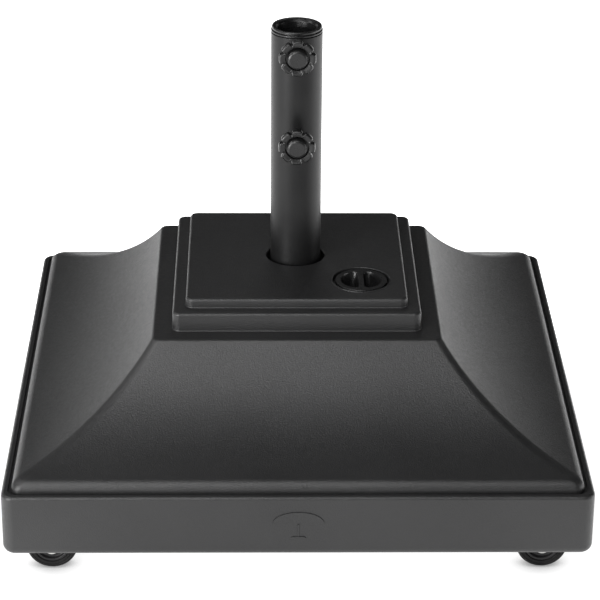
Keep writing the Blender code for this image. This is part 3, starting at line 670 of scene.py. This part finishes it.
def build_tube():
    bore = TUBE_RADIUS - TUBE_WALL
    tube = turned_ring("socket_tube", [(TUBE_RADIUS, TUBE_HIGH.z, 0.0008),
                                       (TUBE_RADIUS, TUBE_LOW.z, 0.0005),
                                       (bore, TUBE_LOW.z, 0.0003), (bore, TUBE_HIGH.z, 0.0004)],
                       128)
    combine(tube, [turned("stud_hole", [(0, 0.035), (0.0065, 0.035), (0.0065, 0.015), (0, 0.015)],
                          32, knob_matrix(height)) for height in KNOB_HEIGHTS.values()])
    smooth(tube, 30)
    dress(tube, COAT_LOOK, "root", ["centre_tube"])
    foot_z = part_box("tube_foot_plate")[0].z
    plate = turned_solid("foot_plate", [(0, foot_z + 0.008, 0),
                                        (bore - GAP, foot_z + 0.008, 0.0005),
                                        (bore - GAP, foot_z, 0.0004), (0.0054, foot_z, 0.0003),
                                        (0.0054, foot_z + 0.0055, 0.0003),
                                        (0, foot_z + 0.0055, 0)], 64)
    smooth(plate)
    dress(plate, COAT_LOOK, "root", ["tube_foot_plate"])


def build_sleeve():
    flange, collar = 0.0272, 0.0264
    top, bottom = SLEEVE_HIGH.z, SLEEVE_LOW.z
    outer = TUBE_RADIUS - TUBE_WALL - GAP
    under = TUBE_HIGH.z + GAP
    corners = [(collar - 0.0005, top, 0.0006), (collar, top - 0.0012, 0.0008),
               (collar, top - 0.0028, 0.0003), (collar - 0.0012, top - 0.0030, 0.0002),
               (collar - 0.0012, top - 0.0037, 0.0002), (flange, top - 0.0039, 0.0005),
               (flange, under + 0.0006, 0.0003), (outer + 0.0004, under + 0.0004, 0.0002),
               (outer + 0.0002, under, 0.0001), (outer, under, 0.0), (outer, bottom, 0.0006),
               (SLEEVE_BORE, bottom, 0.0006), (SLEEVE_BORE, top - 0.0090, 0.0030),
               (0.0203, top - 0.0030, 0.0016), (0.0222, top - 0.0009, 0.0010),
               (0.0246, top - 0.0001, 0.0006)]
    sleeve = turned_ring("reducer_insert", corners, 112)
    slot_top = KNOB_HEIGHTS["upper"] + SLOT_HALF
    outline = rounded([(-SLOT_HALF, bottom - 0.01, 0), (SLOT_HALF, bottom - 0.01, 0),
                       (SLOT_HALF, slot_top, 0.003), (-SLOT_HALF, slot_top, 0.003)], 6)
    slot = flat_plate("slot", outline, [], 0.020, 0,
                      matrix=Matrix.Translation((0, -0.024, 0)) @ UPRIGHT)
    combine(sleeve, [slot])
    smooth(sleeve, 30)
    dress(sleeve, SATIN_LOOK, "sleeve", ["reducer_sleeve"])


# ---- Clamp knobs ----
LOBES = 8
LOBE_START = 22.0
NOTCH_WIDTH = 9.5             # degrees to each side of a notch's middle
PAD_FRONT, PAD_BACK = 0.0205, 0.0221
KNOB_FACE = 0.0530            # distances along the stud, from the tube's middle
CAP_SEAT = KNOB_FACE - 0.0055
STUD_SEAT = KNOB_FACE - 0.0105


def lobe_drop(angle, depth, width):
    """How far the rim drops at this angle, in a notch between two lobes."""
    pitch = 360 / LOBES
    off = (angle - LOBE_START + pitch / 2) % pitch - pitch / 2
    if abs(off) >= width:
        return 0.0
    return depth * (0.5 + 0.5 * cos(pi * off / width))


def grip_loop(radius, depth, z, steps=160):
    """A loop of the grip: a circle, with notches of the given depth."""
    points = []
    for step in range(steps):
        angle = 360 * step / steps
        size = radius - lobe_drop(angle, depth, NOTCH_WIDTH)
        points.append((size * cos(radians(angle)), size * sin(radians(angle)), z))
    return points


def build_knob(label):
    matrix = knob_matrix(KNOB_HEIGHTS[label])
    body, knob_body = f"{label}_clamp", f"{label}_knob"
    nut = flat_plate(f"{label}_nut", arc((0, 0), 0.0080, 0, 300, 5),
                     [arc((0, 0), STUD_RADIUS + GAP, 0, 348, 29)], 0.0048, 0.0005, 3,
                     Matrix.Translation((0, 0, TUBE_RADIUS + GAP + 0.0024)))
    bead = turned_ring(f"{label}_weld", [(0.0092, TUBE_RADIUS - 0.0006, 0.0006),
                                         (0.0094, TUBE_RADIUS - 0.0030, 0.0004),
                                         (0.0070, TUBE_RADIUS - 0.0030, 0.0004),
                                         (0.0072, TUBE_RADIUS + 0.0010, 0.0008)], 40)
    cut_tube = turned("tube_cut", [(0, 0.05), (TUBE_RADIUS + 0.00005, 0.05),
                                   (TUBE_RADIUS + 0.00005, -0.05), (0, -0.05)], 96, UPRIGHT)
    combine(bead, [cut_tube])
    join_loose(nut, [bead])
    nut.data.transform(matrix)
    smooth(nut, 35)
    dress(nut, COAT_LOOK, "root", [f"{label}_weld_nut"])

    back, rim_back, front = 0.0357, 0.0455, KNOB_FACE
    rim, notch = 0.0194, 0.0032
    rings = [(0.0108, 0, back), (0.0114, 0, back + 0.0002), (0.0118, 0, back + 0.0008),
             (0.0132, 0.0002, rim_back - 0.0048), (0.0142, 0.0004, rim_back - 0.0016),
             (0.0152, 0.0008, rim_back - 0.0004), (0.0174, 0.0020, rim_back),
             (rim - 0.0005, notch, rim_back + 0.0004), (rim, notch, rim_back + 0.0016),
             (rim, notch, front - 0.0026), (rim - 0.0004, notch, front - 0.0012),
             (rim - 0.0012, notch, front - 0.0003), (rim - 0.0022, notch, front),
             (rim - 0.0034, notch * 0.9, front - 0.0001),
             (rim - 0.0048, notch * 0.5, front - 0.0005), (0.0134, 0, front - 0.0008),
             (0.0128, 0, front - 0.0009), (0.0124, 0, front - 0.0015), (0.0122, 0, front - 0.0054),
             (0.0120, 0, CAP_SEAT), (0.0068, 0, CAP_SEAT),
             (0.0068, 0, STUD_SEAT), (STUD_RADIUS + GAP, 0, STUD_SEAT),
             (STUD_RADIUS + GAP, 0, back + 0.0003), (STUD_RADIUS + 0.0006, 0, back)]
    loops = [grip_loop(*ring) for ring in rings]
    grip = new_piece(f"{label}_grip", loops_to_mesh(f"{label}_grip", loops, ring=True))
    grip.data.transform(matrix)
    smooth(grip, 38)
    dress(grip, KNOB_LOOK, knob_body, [f"{label}_knob_grip"])

    face, seat, cap_radius = 0.0570, CAP_SEAT + GAP, 0.0106
    cap = turned_solid(f"{label}_cap", [(0, face, 0), (0.0078, face - 0.0001, 0.0020),
                                        (0.0096, face - 0.0008, 0.0012),
                                        (cap_radius, face - 0.0024, 0.0012),
                                        (cap_radius, seat, 0.0003), (0, seat, 0)], 72, matrix)
    smooth(cap, 32)
    dress(cap, SATIN_LOOK, knob_body, [f"{label}_knob_cap"])

    tip = PAD_BACK + GAP
    head_seat = STUD_SEAT + GAP
    head_top = CAP_SEAT - 0.0004
    stud = threaded(f"{label}_stud", STUD_RADIUS, 0.00055, tip, head_seat + 0.0008, THREAD_PITCH)
    head = flat_plate(f"{label}_stud_head", arc((0, 0), 0.0064, 0, 300, 5), [],
                      head_top - head_seat, 0.0004, 2,
                      Matrix.Translation((0, 0, (head_top + head_seat) / 2)))
    combine(stud, [head], "UNION")
    stud.data.transform(matrix)
    smooth(stud, 50)
    dress(stud, ZINC_LOOK, knob_body, [f"{label}_clamp_stud"])

    pad = turned_solid(f"{label}_pad", [(0, PAD_BACK, 0), (0.0060, PAD_BACK, 0.0003),
                                        (0.0060, PAD_FRONT, 0.0005), (0, PAD_FRONT, 0)], 48, matrix)
    smooth(pad, 32)
    dress(pad, RUBBER_LOOK, body, [f"{label}_clamp_pad"])


# ---- Fill plug ----
def pocket_outline(web, reach, fillet):
    """Half a disc beside the web, with the two corners rounded."""
    inner_x = web + fillet
    inner_y = sqrt((reach - fillet) ** 2 - inner_x ** 2)
    spread = degrees(atan2(inner_y, inner_x))
    low = arc((inner_x, -inner_y), fillet, 180, 360 - spread, 8)
    high = arc((inner_x, inner_y), fillet, spread, 180, 8)
    return low + arc((0, 0), reach, -spread, spread, 40)[1:-1] + high


def pocket_loft(side, sections):
    """A finger pocket that narrows towards its floor, from (depth, half web, reach) sections."""
    loops = [[(side * x, y, PLUG_HIGH.z - depth) for x, y in pocket_outline(web, reach, 0.0050)]
             for depth, web, reach in sections]
    return new_piece("pocket", loops_to_mesh("pocket", loops))


def build_plug():
    place = Matrix.Translation((PLUG_X, PLUG_Y, 0))
    seat, top, foot = COUNTERBORE_Z + GAP, PLUG_HIGH.z, PLUG_LOW.z
    disc = (PLUG_HIGH.x - PLUG_LOW.x) / 2
    body = NECK_BORE - 0.0006
    core = body - 0.0011
    corners = [(0, top, 0), (disc - 0.0004, top, 0.0007), (disc - 0.0004, seat, 0.0004),
               (core, seat, 0.0002), (core, foot, 0.0010), (0, foot, 0)]
    plug = turned_solid("plug_body", corners, 96)
    thread = threaded("plug_thread", body, 0.0014, foot + 0.0012, seat - 0.0014, PLUG_PITCH,
                      64, 14, 0.5)
    combine(plug, [thread], "UNION")
    sections = ((-0.0012, 0.0022, 0.0224), (0.0003, 0.0027, 0.0218), (0.0009, 0.0030, 0.0214),
                (0.0100, 0.0036, 0.0196), (0.0146, 0.0040, 0.0188), (0.0160, 0.0052, 0.0176))
    combine(plug, [pocket_loft(side, sections) for side in (-1, 1)])
    plug.data.transform(place)
    smooth(plug, 34)
    dress(plug, SATIN_LOOK, "plug", ["fill_plug"])
    low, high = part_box("plug_gasket")
    outer = (high.x - low.x) / 2
    seal = turned_ring("plug_seal", [(outer, high.z, 0.0003), (outer, low.z, 0.0003),
                                     (NECK_BORE + 0.0003, low.z, 0.0003),
                                     (NECK_BORE + 0.0003, high.z, 0.0003)], 72, place)
    smooth(seal)
    dress(seal, RUBBER_LOOK, "plug_seal", ["plug_gasket"])


# ---- Tube fixing under the tank ----
def build_foot_fixing():
    low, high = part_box("foot_washer")
    washer = turned_ring("washer", [(0.0140, high.z, 0.0003), (0.0140, low.z, 0.0003),
                                    (BOLT_HOLE_RADIUS, low.z, 0.0003),
                                    (BOLT_HOLE_RADIUS, high.z, 0.0003)], 56)
    smooth(washer)
    dress(washer, ZINC_LOOK, "root", ["foot_washer"])
    low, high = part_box("foot_bolt")
    head_top = low.z + 0.0065
    head = flat_plate("hex_head", arc((0, 0), 0.0095, 0, 300, 5), [], 0.0065, 0.0006, 3,
                      Matrix.Translation((0, 0, low.z + 0.00325)))
    shank = threaded("hex_shank", 0.0050, 0.0006, head_top - 0.001, high.z, 0.0015, 32, 8)
    combine(head, [shank], "UNION")
    smooth(head, 50)
    dress(head, ZINC_LOOK, "root", ["foot_bolt"])


# ---- Casters ----
def make_plate():
    holes = [arc((0, 0), 0.0054, 0, 345, 23)]
    holes += [arc(place, 0.0024, 0, 337.5, 15)
              for place in corner_places(SCREW_PLACE, SCREW_PLACE)]
    outline = [(x, y) for x, y, z in rounded_square(0.028, 0.0060, 0, 8)]
    plate = flat_plate("plate", outline, holes, PLATE_TOP_Z - PLATE_LOW_Z, 0.0004, 2,
                       Matrix.Translation((0, 0, (PLATE_TOP_Z + PLATE_LOW_Z) / 2)))
    return smooth(plate, 32)


def make_kingpin():
    top = PLATE_TOP_Z - 0.0003
    corners = [(0, top, 0), (0.0049, top, 0.0003), (0.0049, CROWN_LOW_Z - GAP, 0),
               (0.0080, CROWN_LOW_Z - GAP, 0.0003), (0.0076, CROWN_LOW_Z - 0.0022, 0.0014),
               (0.0040, CROWN_LOW_Z - 0.0031, 0.0010), (0, CROWN_LOW_Z - 0.0031, 0)]
    return smooth(turned_solid("kingpin", corners, 48), 32)


def make_screw():
    """Pan head with a cross recess, thread up into the tank."""
    low = PLATE_LOW_Z - GAP
    head = turned_solid("screw", [(0, low, 0), (0.0044, low, 0.0003),
                                  (0.0042, low - 0.0014, 0.0010), (0.0020, low - 0.0023, 0.0010),
                                  (0, low - 0.0024, 0)], 32)
    shank = threaded("screw_thread", 0.0020, 0.0005, low - 0.0005, 0.0732, 0.0012, 16, 6)
    combine(head, [shank], "UNION")
    blade = [(-0.0021, low - 0.003), (0.0021, low - 0.003),
             (0.0010, low - 0.0008), (-0.0010, low - 0.0008)]
    combine(head, [flat_plate("blade", blade, [], 0.0008, 0,
                              matrix=Matrix.Rotation(turn + pi / 4, 4, "Z") @ UPRIGHT)
                   for turn in (0, pi / 2)])
    return smooth(head, 40)


def leg_outline(with_ear):
    top = CROWN_TOP_Z - 0.0004
    points = [(-0.0130, top, 0), (-0.0130, top - 0.0060, 0.004)]
    points += [(*point, 0) for point in arc((CASTER_TRAIL, WHEEL_RADIUS), 0.0080, 205, 375, 20)]
    if with_ear:
        points += [(*point, 0) for point in arc(BRAKE_PIVOT, 0.0034, -60, 100, 12)]
    else:
        points.append((0.0262, 0.0500, 0.006))
    points.append((0.0240, top, 0.0015))
    return rounded(points, 5)


def make_yoke(with_ear):
    race = [(0.0165, CROWN_TOP_Z + 0.0020, 0.0009), (0.0165, CROWN_TOP_Z, 0.0004),
            (0.0195, CROWN_TOP_Z, 0.0008), (0.0195, CROWN_LOW_Z, 0.0008),
            (0.0052, CROWN_LOW_Z, 0.0003), (0.0052, CROWN_TOP_Z, 0.0003),
            (0.0135, CROWN_TOP_Z, 0.0004), (0.0135, CROWN_TOP_Z + 0.0020, 0.0009)]
    yoke = turned_ring("yoke", race, 72)
    holes = [arc((CASTER_TRAIL, WHEEL_RADIUS), 0.0042, 0, 345, 23)]
    if with_ear:
        holes.append(arc(BRAKE_PIVOT, 0.0018, 0, 337.5, 15))
    for side in (-1, 1):
        middle = side * (LEG_INNER + LEG_OUTER) / 2
        leg = flat_plate("leg", leg_outline(with_ear), holes, LEG_OUTER - LEG_INNER, 0.0004, 2,
                         Matrix.Translation((0, middle, 0)) @ UPRIGHT)
        combine(yoke, [leg], "UNION")
    return smooth(yoke, 34)


def mirrored_ring(name, side, steps, angle):
    mirrored = [(radius, -z, fillet) for radius, z, fillet in reversed(side)]
    return smooth(turned_ring(name, side + mirrored, steps), angle)


def make_hub():
    """Wheel core: a boss, a dished web with a raised ring, and a rim under the tyre."""
    rim = 0.0190 - GAP
    side = [(0.0044, 0.0108, 0.0003), (0.0076, 0.0108, 0.0006), (0.0078, 0.0062, 0.0010),
            (0.0108, 0.0056, 0.0006), (0.0112, 0.0066, 0.0003), (0.0124, 0.0066, 0.0003),
            (0.0128, 0.0056, 0.0006), (0.0150, 0.0058, 0.0010), (0.0164, 0.0084, 0.0008),
            (rim, 0.0086, 0.0004)]
    return mirrored_ring("hub", side, 96, 32)


def make_tyre():
    rim = 0.0190
    side = [(rim, TYRE_HALF - 0.0010, 0.0003), (0.0196, TYRE_HALF - 0.0002, 0.0004),
            (0.0214, TYRE_HALF, 0.0006), (0.0218, TYRE_HALF - 0.0006, 0.0003),
            (0.0226, TYRE_HALF - 0.0006, 0.0003), (0.0230, TYRE_HALF, 0.0005),
            (0.0250, TYRE_HALF - 0.0004, 0.0012), (0.0264, TYRE_HALF - 0.0026, 0.0020),
            (WHEEL_RADIUS, TYRE_HALF - 0.0058, 0.0040)]
    return mirrored_ring("tyre", side, 128, 34)


def make_axle():
    """A bolt through the fork, with a hexagon head and a lock nut."""
    shaft = turned_solid("axle", [(0, LEG_OUTER + 0.0024, 0), (0.0030, LEG_OUTER + 0.0024, 0.0003),
                                  (0.0038, LEG_OUTER + 0.0018, 0.0003),
                                  (0.0038, -LEG_OUTER - 0.0010, 0), (0, -LEG_OUTER - 0.0010, 0)],
                         32)
    middle = LEG_OUTER + GAP + 0.0009
    combine(shaft, [flat_plate("hexagon", arc((0, 0), 0.0061, 30, 330, 5), [], 0.0018, 0.0003, 2,
                               Matrix.Translation((0, 0, side * middle))) for side in (-1, 1)],
            "UNION")
    return smooth(shaft, 40)


def make_pedal():
    x, z = BRAKE_PIVOT
    corners = [(x + 0.0005, z + 0.0028, 0.002), (x - 0.0020, z + 0.0020, 0.002),
               (x - 0.0028, z, 0.002), (x - 0.0020, z - 0.0022, 0.002),
               (x + 0.0010, z - 0.0030, 0.001), (x + 0.0030, z - 0.0052, 0.001),
               (x + 0.0032, z - 0.0096, 0.0010), (x + 0.0200, z - 0.0150, 0.0006),
               (x + 0.0208, z - 0.0128, 0.0006), (x + 0.0047, z - 0.0076, 0.0024),
               (x + 0.0047, z - 0.0010, 0.001), (x + 0.0030, z + 0.0016, 0.001)]
    pedal = flat_plate("pedal", rounded(corners, 5), [], 0.0190, 0.0005, 3, UPRIGHT)
    pin = turned_solid("pin", [(0, 0.0142, 0), (0.0015, 0.0142, 0.0002), (0.0015, -0.0142, 0.0002),
                               (0, -0.0142, 0)], 24, Matrix.Translation((x, 0, z)) @ UPRIGHT)
    slope = atan2(-0.0052, 0.0161)
    ribs = []
    for number in range(4):
        along = 0.0035 + 0.0034 * number
        middle = Vector((x + 0.0047 + along * cos(slope), 0, z - 0.0076 + along * sin(slope)))
        rib = turned_solid("rib", [(0, 0.0075, 0), (0.0006, 0.0075, 0.0003),
                                   (0.0006, -0.0075, 0.0003), (0, -0.0075, 0)], 12,
                           Matrix.Translation(middle) @ UPRIGHT)
        ribs.append(rib)
    combine(pedal, [pin, *ribs], "UNION")
    return smooth(pedal, 38)


def build_casters():
    about_axle = Matrix.Translation((CASTER_TRAIL, 0, WHEEL_RADIUS)) @ UPRIGHT
    plate, kingpin, screw = make_plate(), make_kingpin(), make_screw()
    yokes = {False: make_yoke(False), True: make_yoke(True)}
    hub, tyre, axle, pedal = make_hub(), make_tyre(), make_axle(), make_pedal()
    for label in ("front_left", "front_right", "rear_left", "rear_right"):
        x = -CASTER_X if label.endswith("left") else CASTER_X
        y = -CASTER_Y if label.startswith("front") else CASTER_Y
        braked = label.startswith("rear")
        here = Matrix.Translation((x, y, 0)) @ Matrix.Rotation(pi if x < 0 else 0, 4, "Z")
        wheel = here @ about_axle
        fork = f"{label}_fork"
        for source, name, matrix, look, body, slot_name in (
                (plate, "caster_plate", here, ZINC_LOOK, "root", "zinc_steel"),
                (kingpin, "kingpin", here, ZINC_LOOK, "root", "zinc_steel"),
                (yokes[braked], "yoke", here, ZINC_LOOK, fork, "zinc_steel"),
                (axle, "axle", wheel, ZINC_LOOK, fork, "zinc_steel"),
                (hub, "wheel_hub", wheel, NYLON_LOOK, f"{label}_wheel", "wheel_plastic"),
                (tyre, "tyre", wheel, TYRE_LOOK, f"{label}_wheel", "tyre")):
            node = f"{label}_{name}"
            dress(copy_piece(source, f"{node}_fine", matrix), look, body, [node])
        for number, (shift_x, shift_y) in enumerate(corner_places(SCREW_PLACE, SCREW_PLACE), 1):
            node = f"{label}_screw_{number}"
            piece = copy_piece(screw, f"{node}_fine",
                               here @ Matrix.Translation((shift_x, shift_y, 0)))
            dress(piece, ZINC_LOOK, "root", [node])
        if braked:
            node = f"{label}_brake_pedal"
            dress(copy_piece(pedal, f"{node}_fine", here), ZINC_LOOK, f"{label}_brake",
                  [node])
    for source in (plate, kingpin, screw, *yokes.values(), hub, tyre, axle, pedal):
        bpy.data.objects.remove(source, do_unlink=True)


# ---- Studio ----
def build_floor():
    """A white sweep that glows a little: painted light makes it brighter beside and behind the base
    than in front of it, and a painted contact shadow darkens it where something almost touches it."""
    size = 40.0
    mesh = mesh_from("floor", [(-size, -size, 0), (size, -size, 0), (size, size, 0),
                               (-size, size, 0)], [(0, 1, 2, 3)])
    floor = new_piece("studio_floor", mesh)
    material = bpy.data.materials.new("studio_floor")
    material.use_nodes = True
    nodes, links = material.node_tree.nodes, material.node_tree.links
    shader = nodes["Principled BSDF"]
    shader.inputs["Base Color"].default_value = (0.20, 0.20, 0.20, 1.0)
    shader.inputs["Roughness"].default_value = 0.9
    shader.inputs["Specular IOR Level"].default_value = 0.0
    shader.inputs["Emission Color"].default_value = (1.0, 1.0, 1.0, 1.0)

    def remap(value, from_low, from_high, low, high):
        node = nodes.new("ShaderNodeMapRange")
        node.interpolation_type = "SMOOTHSTEP"
        for socket, number in (("From Min", from_low), ("From Max", from_high),
                               ("To Min", low), ("To Max", high)):
            node.inputs[socket].default_value = number
        links.new(value, node.inputs["Value"])
        return node.outputs["Result"]

    def join(operation, first, second):
        node = nodes.new("ShaderNodeMath")
        node.operation = operation
        links.new(first, node.inputs[0])
        links.new(second, node.inputs[1])
        return node.outputs["Value"]

    place = nodes.new("ShaderNodeTexCoord").outputs["Object"]
    split = nodes.new("ShaderNodeSeparateXYZ")
    links.new(place, split.inputs["Vector"])
    length = nodes.new("ShaderNodeVectorMath")
    length.operation = "LENGTH"
    links.new(place, length.inputs[0])
    distance = length.outputs["Value"]
    # Painted light: the floor's glow rises beside and behind the base, in a ring round it.
    beside = remap(split.outputs["Y"], -0.80, 0.0, 0.0, 1.0)
    ring = join("MULTIPLY", remap(distance, 0.36, 0.50, 0.0, 1.0),
                remap(distance, 0.9, 2.4, 1.25, 0.35))
    # Painted contact shadow: ambient occlusion dims the floor's glow where something almost touches
    # it.
    painted_contact_shadow = nodes.new("ShaderNodeAmbientOcclusion")
    painted_contact_shadow.samples = 8
    painted_contact_shadow.inputs["Distance"].default_value = 0.035
    glow = join("ADD", remap(painted_contact_shadow.outputs["AO"], 0.15, 0.95, 0.25, 1.02),
                join("MULTIPLY", beside, ring))
    links.new(glow, shader.inputs["Emission Strength"])
    mesh.materials.append(material)


def build_world():
    """A dark room with a faint glow near the floor."""
    world = bpy.data.worlds.new("studio")
    world.use_nodes = True
    bpy.context.scene.world = world
    nodes, links = world.node_tree.nodes, world.node_tree.links
    place = nodes.new("ShaderNodeTexCoord")
    split = nodes.new("ShaderNodeSeparateXYZ")
    links.new(place.outputs["Generated"], split.inputs["Vector"])
    ramp = nodes.new("ShaderNodeValToRGB")
    stops = ramp.color_ramp
    stops.elements[0].position = 0.0
    stops.elements[0].color = (1.0, 1.0, 1.0, 1.0)
    stops.elements[1].position = 1.0
    stops.elements[1].color = (0.01, 0.01, 0.01, 1.0)
    for position, grey in ((0.03, 1.0), (0.06, 0.30)):
        stop = stops.elements.new(position)
        stop.color = (grey, grey, grey, 1.0)
    links.new(split.outputs["Z"], ramp.inputs["Fac"])
    links.new(ramp.outputs["Color"], nodes["Background"].inputs["Color"])
    nodes["Background"].inputs["Strength"].default_value = 0.05


def soft_box(name, place, target, width, height, power):
    data = bpy.data.lights.new(name, "AREA")
    data.shape = "RECTANGLE"
    data.size = width
    data.size_y = height
    data.energy = power
    item = bpy.data.objects.new(name, data)
    bpy.context.scene.collection.objects.link(item)
    item.location = place
    item.rotation_euler = (Vector(target) - Vector(place)).to_track_quat("-Z", "Y").to_euler()


def build_lights():
    """A broad key low on the front left, a second above it, and soft light all round."""
    aim = (0, -0.05, 0.15)
    for name, place, size, power in (("front_left_low", (-1.7, -1.7, 0.6), 0.9, 60),
                                     ("front_edge", (-0.55, -2.2, 1.1), 0.5, 10),
                                     ("front_left_top", (-0.9, -1.4, 2.2), 0.9, 22),
                                     ("front_top", (0.0, -1.6, 2.2), 0.9, 16),
                                     ("left_top", (-1.2, 0.0, 1.3), 0.6, 5),
                                     ("right_low", (2.3, 0.0, 0.45), 0.8, 11),
                                     ("rear_top", (0.0, 1.7, 2.0), 0.9, 2.7),
                                     ("rear_left", (-1.5, 1.9, 0.7), 0.9, 2.4),
                                     ("rear_right", (1.5, 1.9, 0.7), 0.9, 1.4)):
        soft_box(name, place, aim, size, size, power)


def build_camera():
    """The photographer's long lens, a little left of the middle and looking down."""
    pitch, yaw, roll = 0.4374, 0.0190, -0.0080
    forward = Vector((sin(yaw) * cos(pitch), cos(yaw) * cos(pitch), -sin(pitch)))
    right = Vector((cos(yaw), -sin(yaw), 0.0))
    down = forward.cross(right)
    across = right * cos(roll) + down * sin(roll)
    downward = down * cos(roll) - right * sin(roll)
    turn = Matrix((across, -downward, -forward)).transposed()
    data = bpy.data.cameras.new("camera")
    data.sensor_width = 36.0
    data.lens = 151.87
    data.clip_end = 200.0
    item = bpy.data.objects.new("camera", data)
    bpy.context.scene.collection.objects.link(item)
    item.matrix_world = Matrix.Translation((-0.0424, -2.5183, 1.3679)) @ turn.to_4x4()
    bpy.context.scene.camera = item


build_camera()
build_floor()
build_world()
build_lights()
bpy.context.scene.view_settings.view_transform = "Standard"
build_tank()
build_emblem()
build_tube()
build_sleeve()
for knob_label in KNOB_HEIGHTS:
    build_knob(knob_label)
build_plug()
build_foot_fixing()
build_casters()
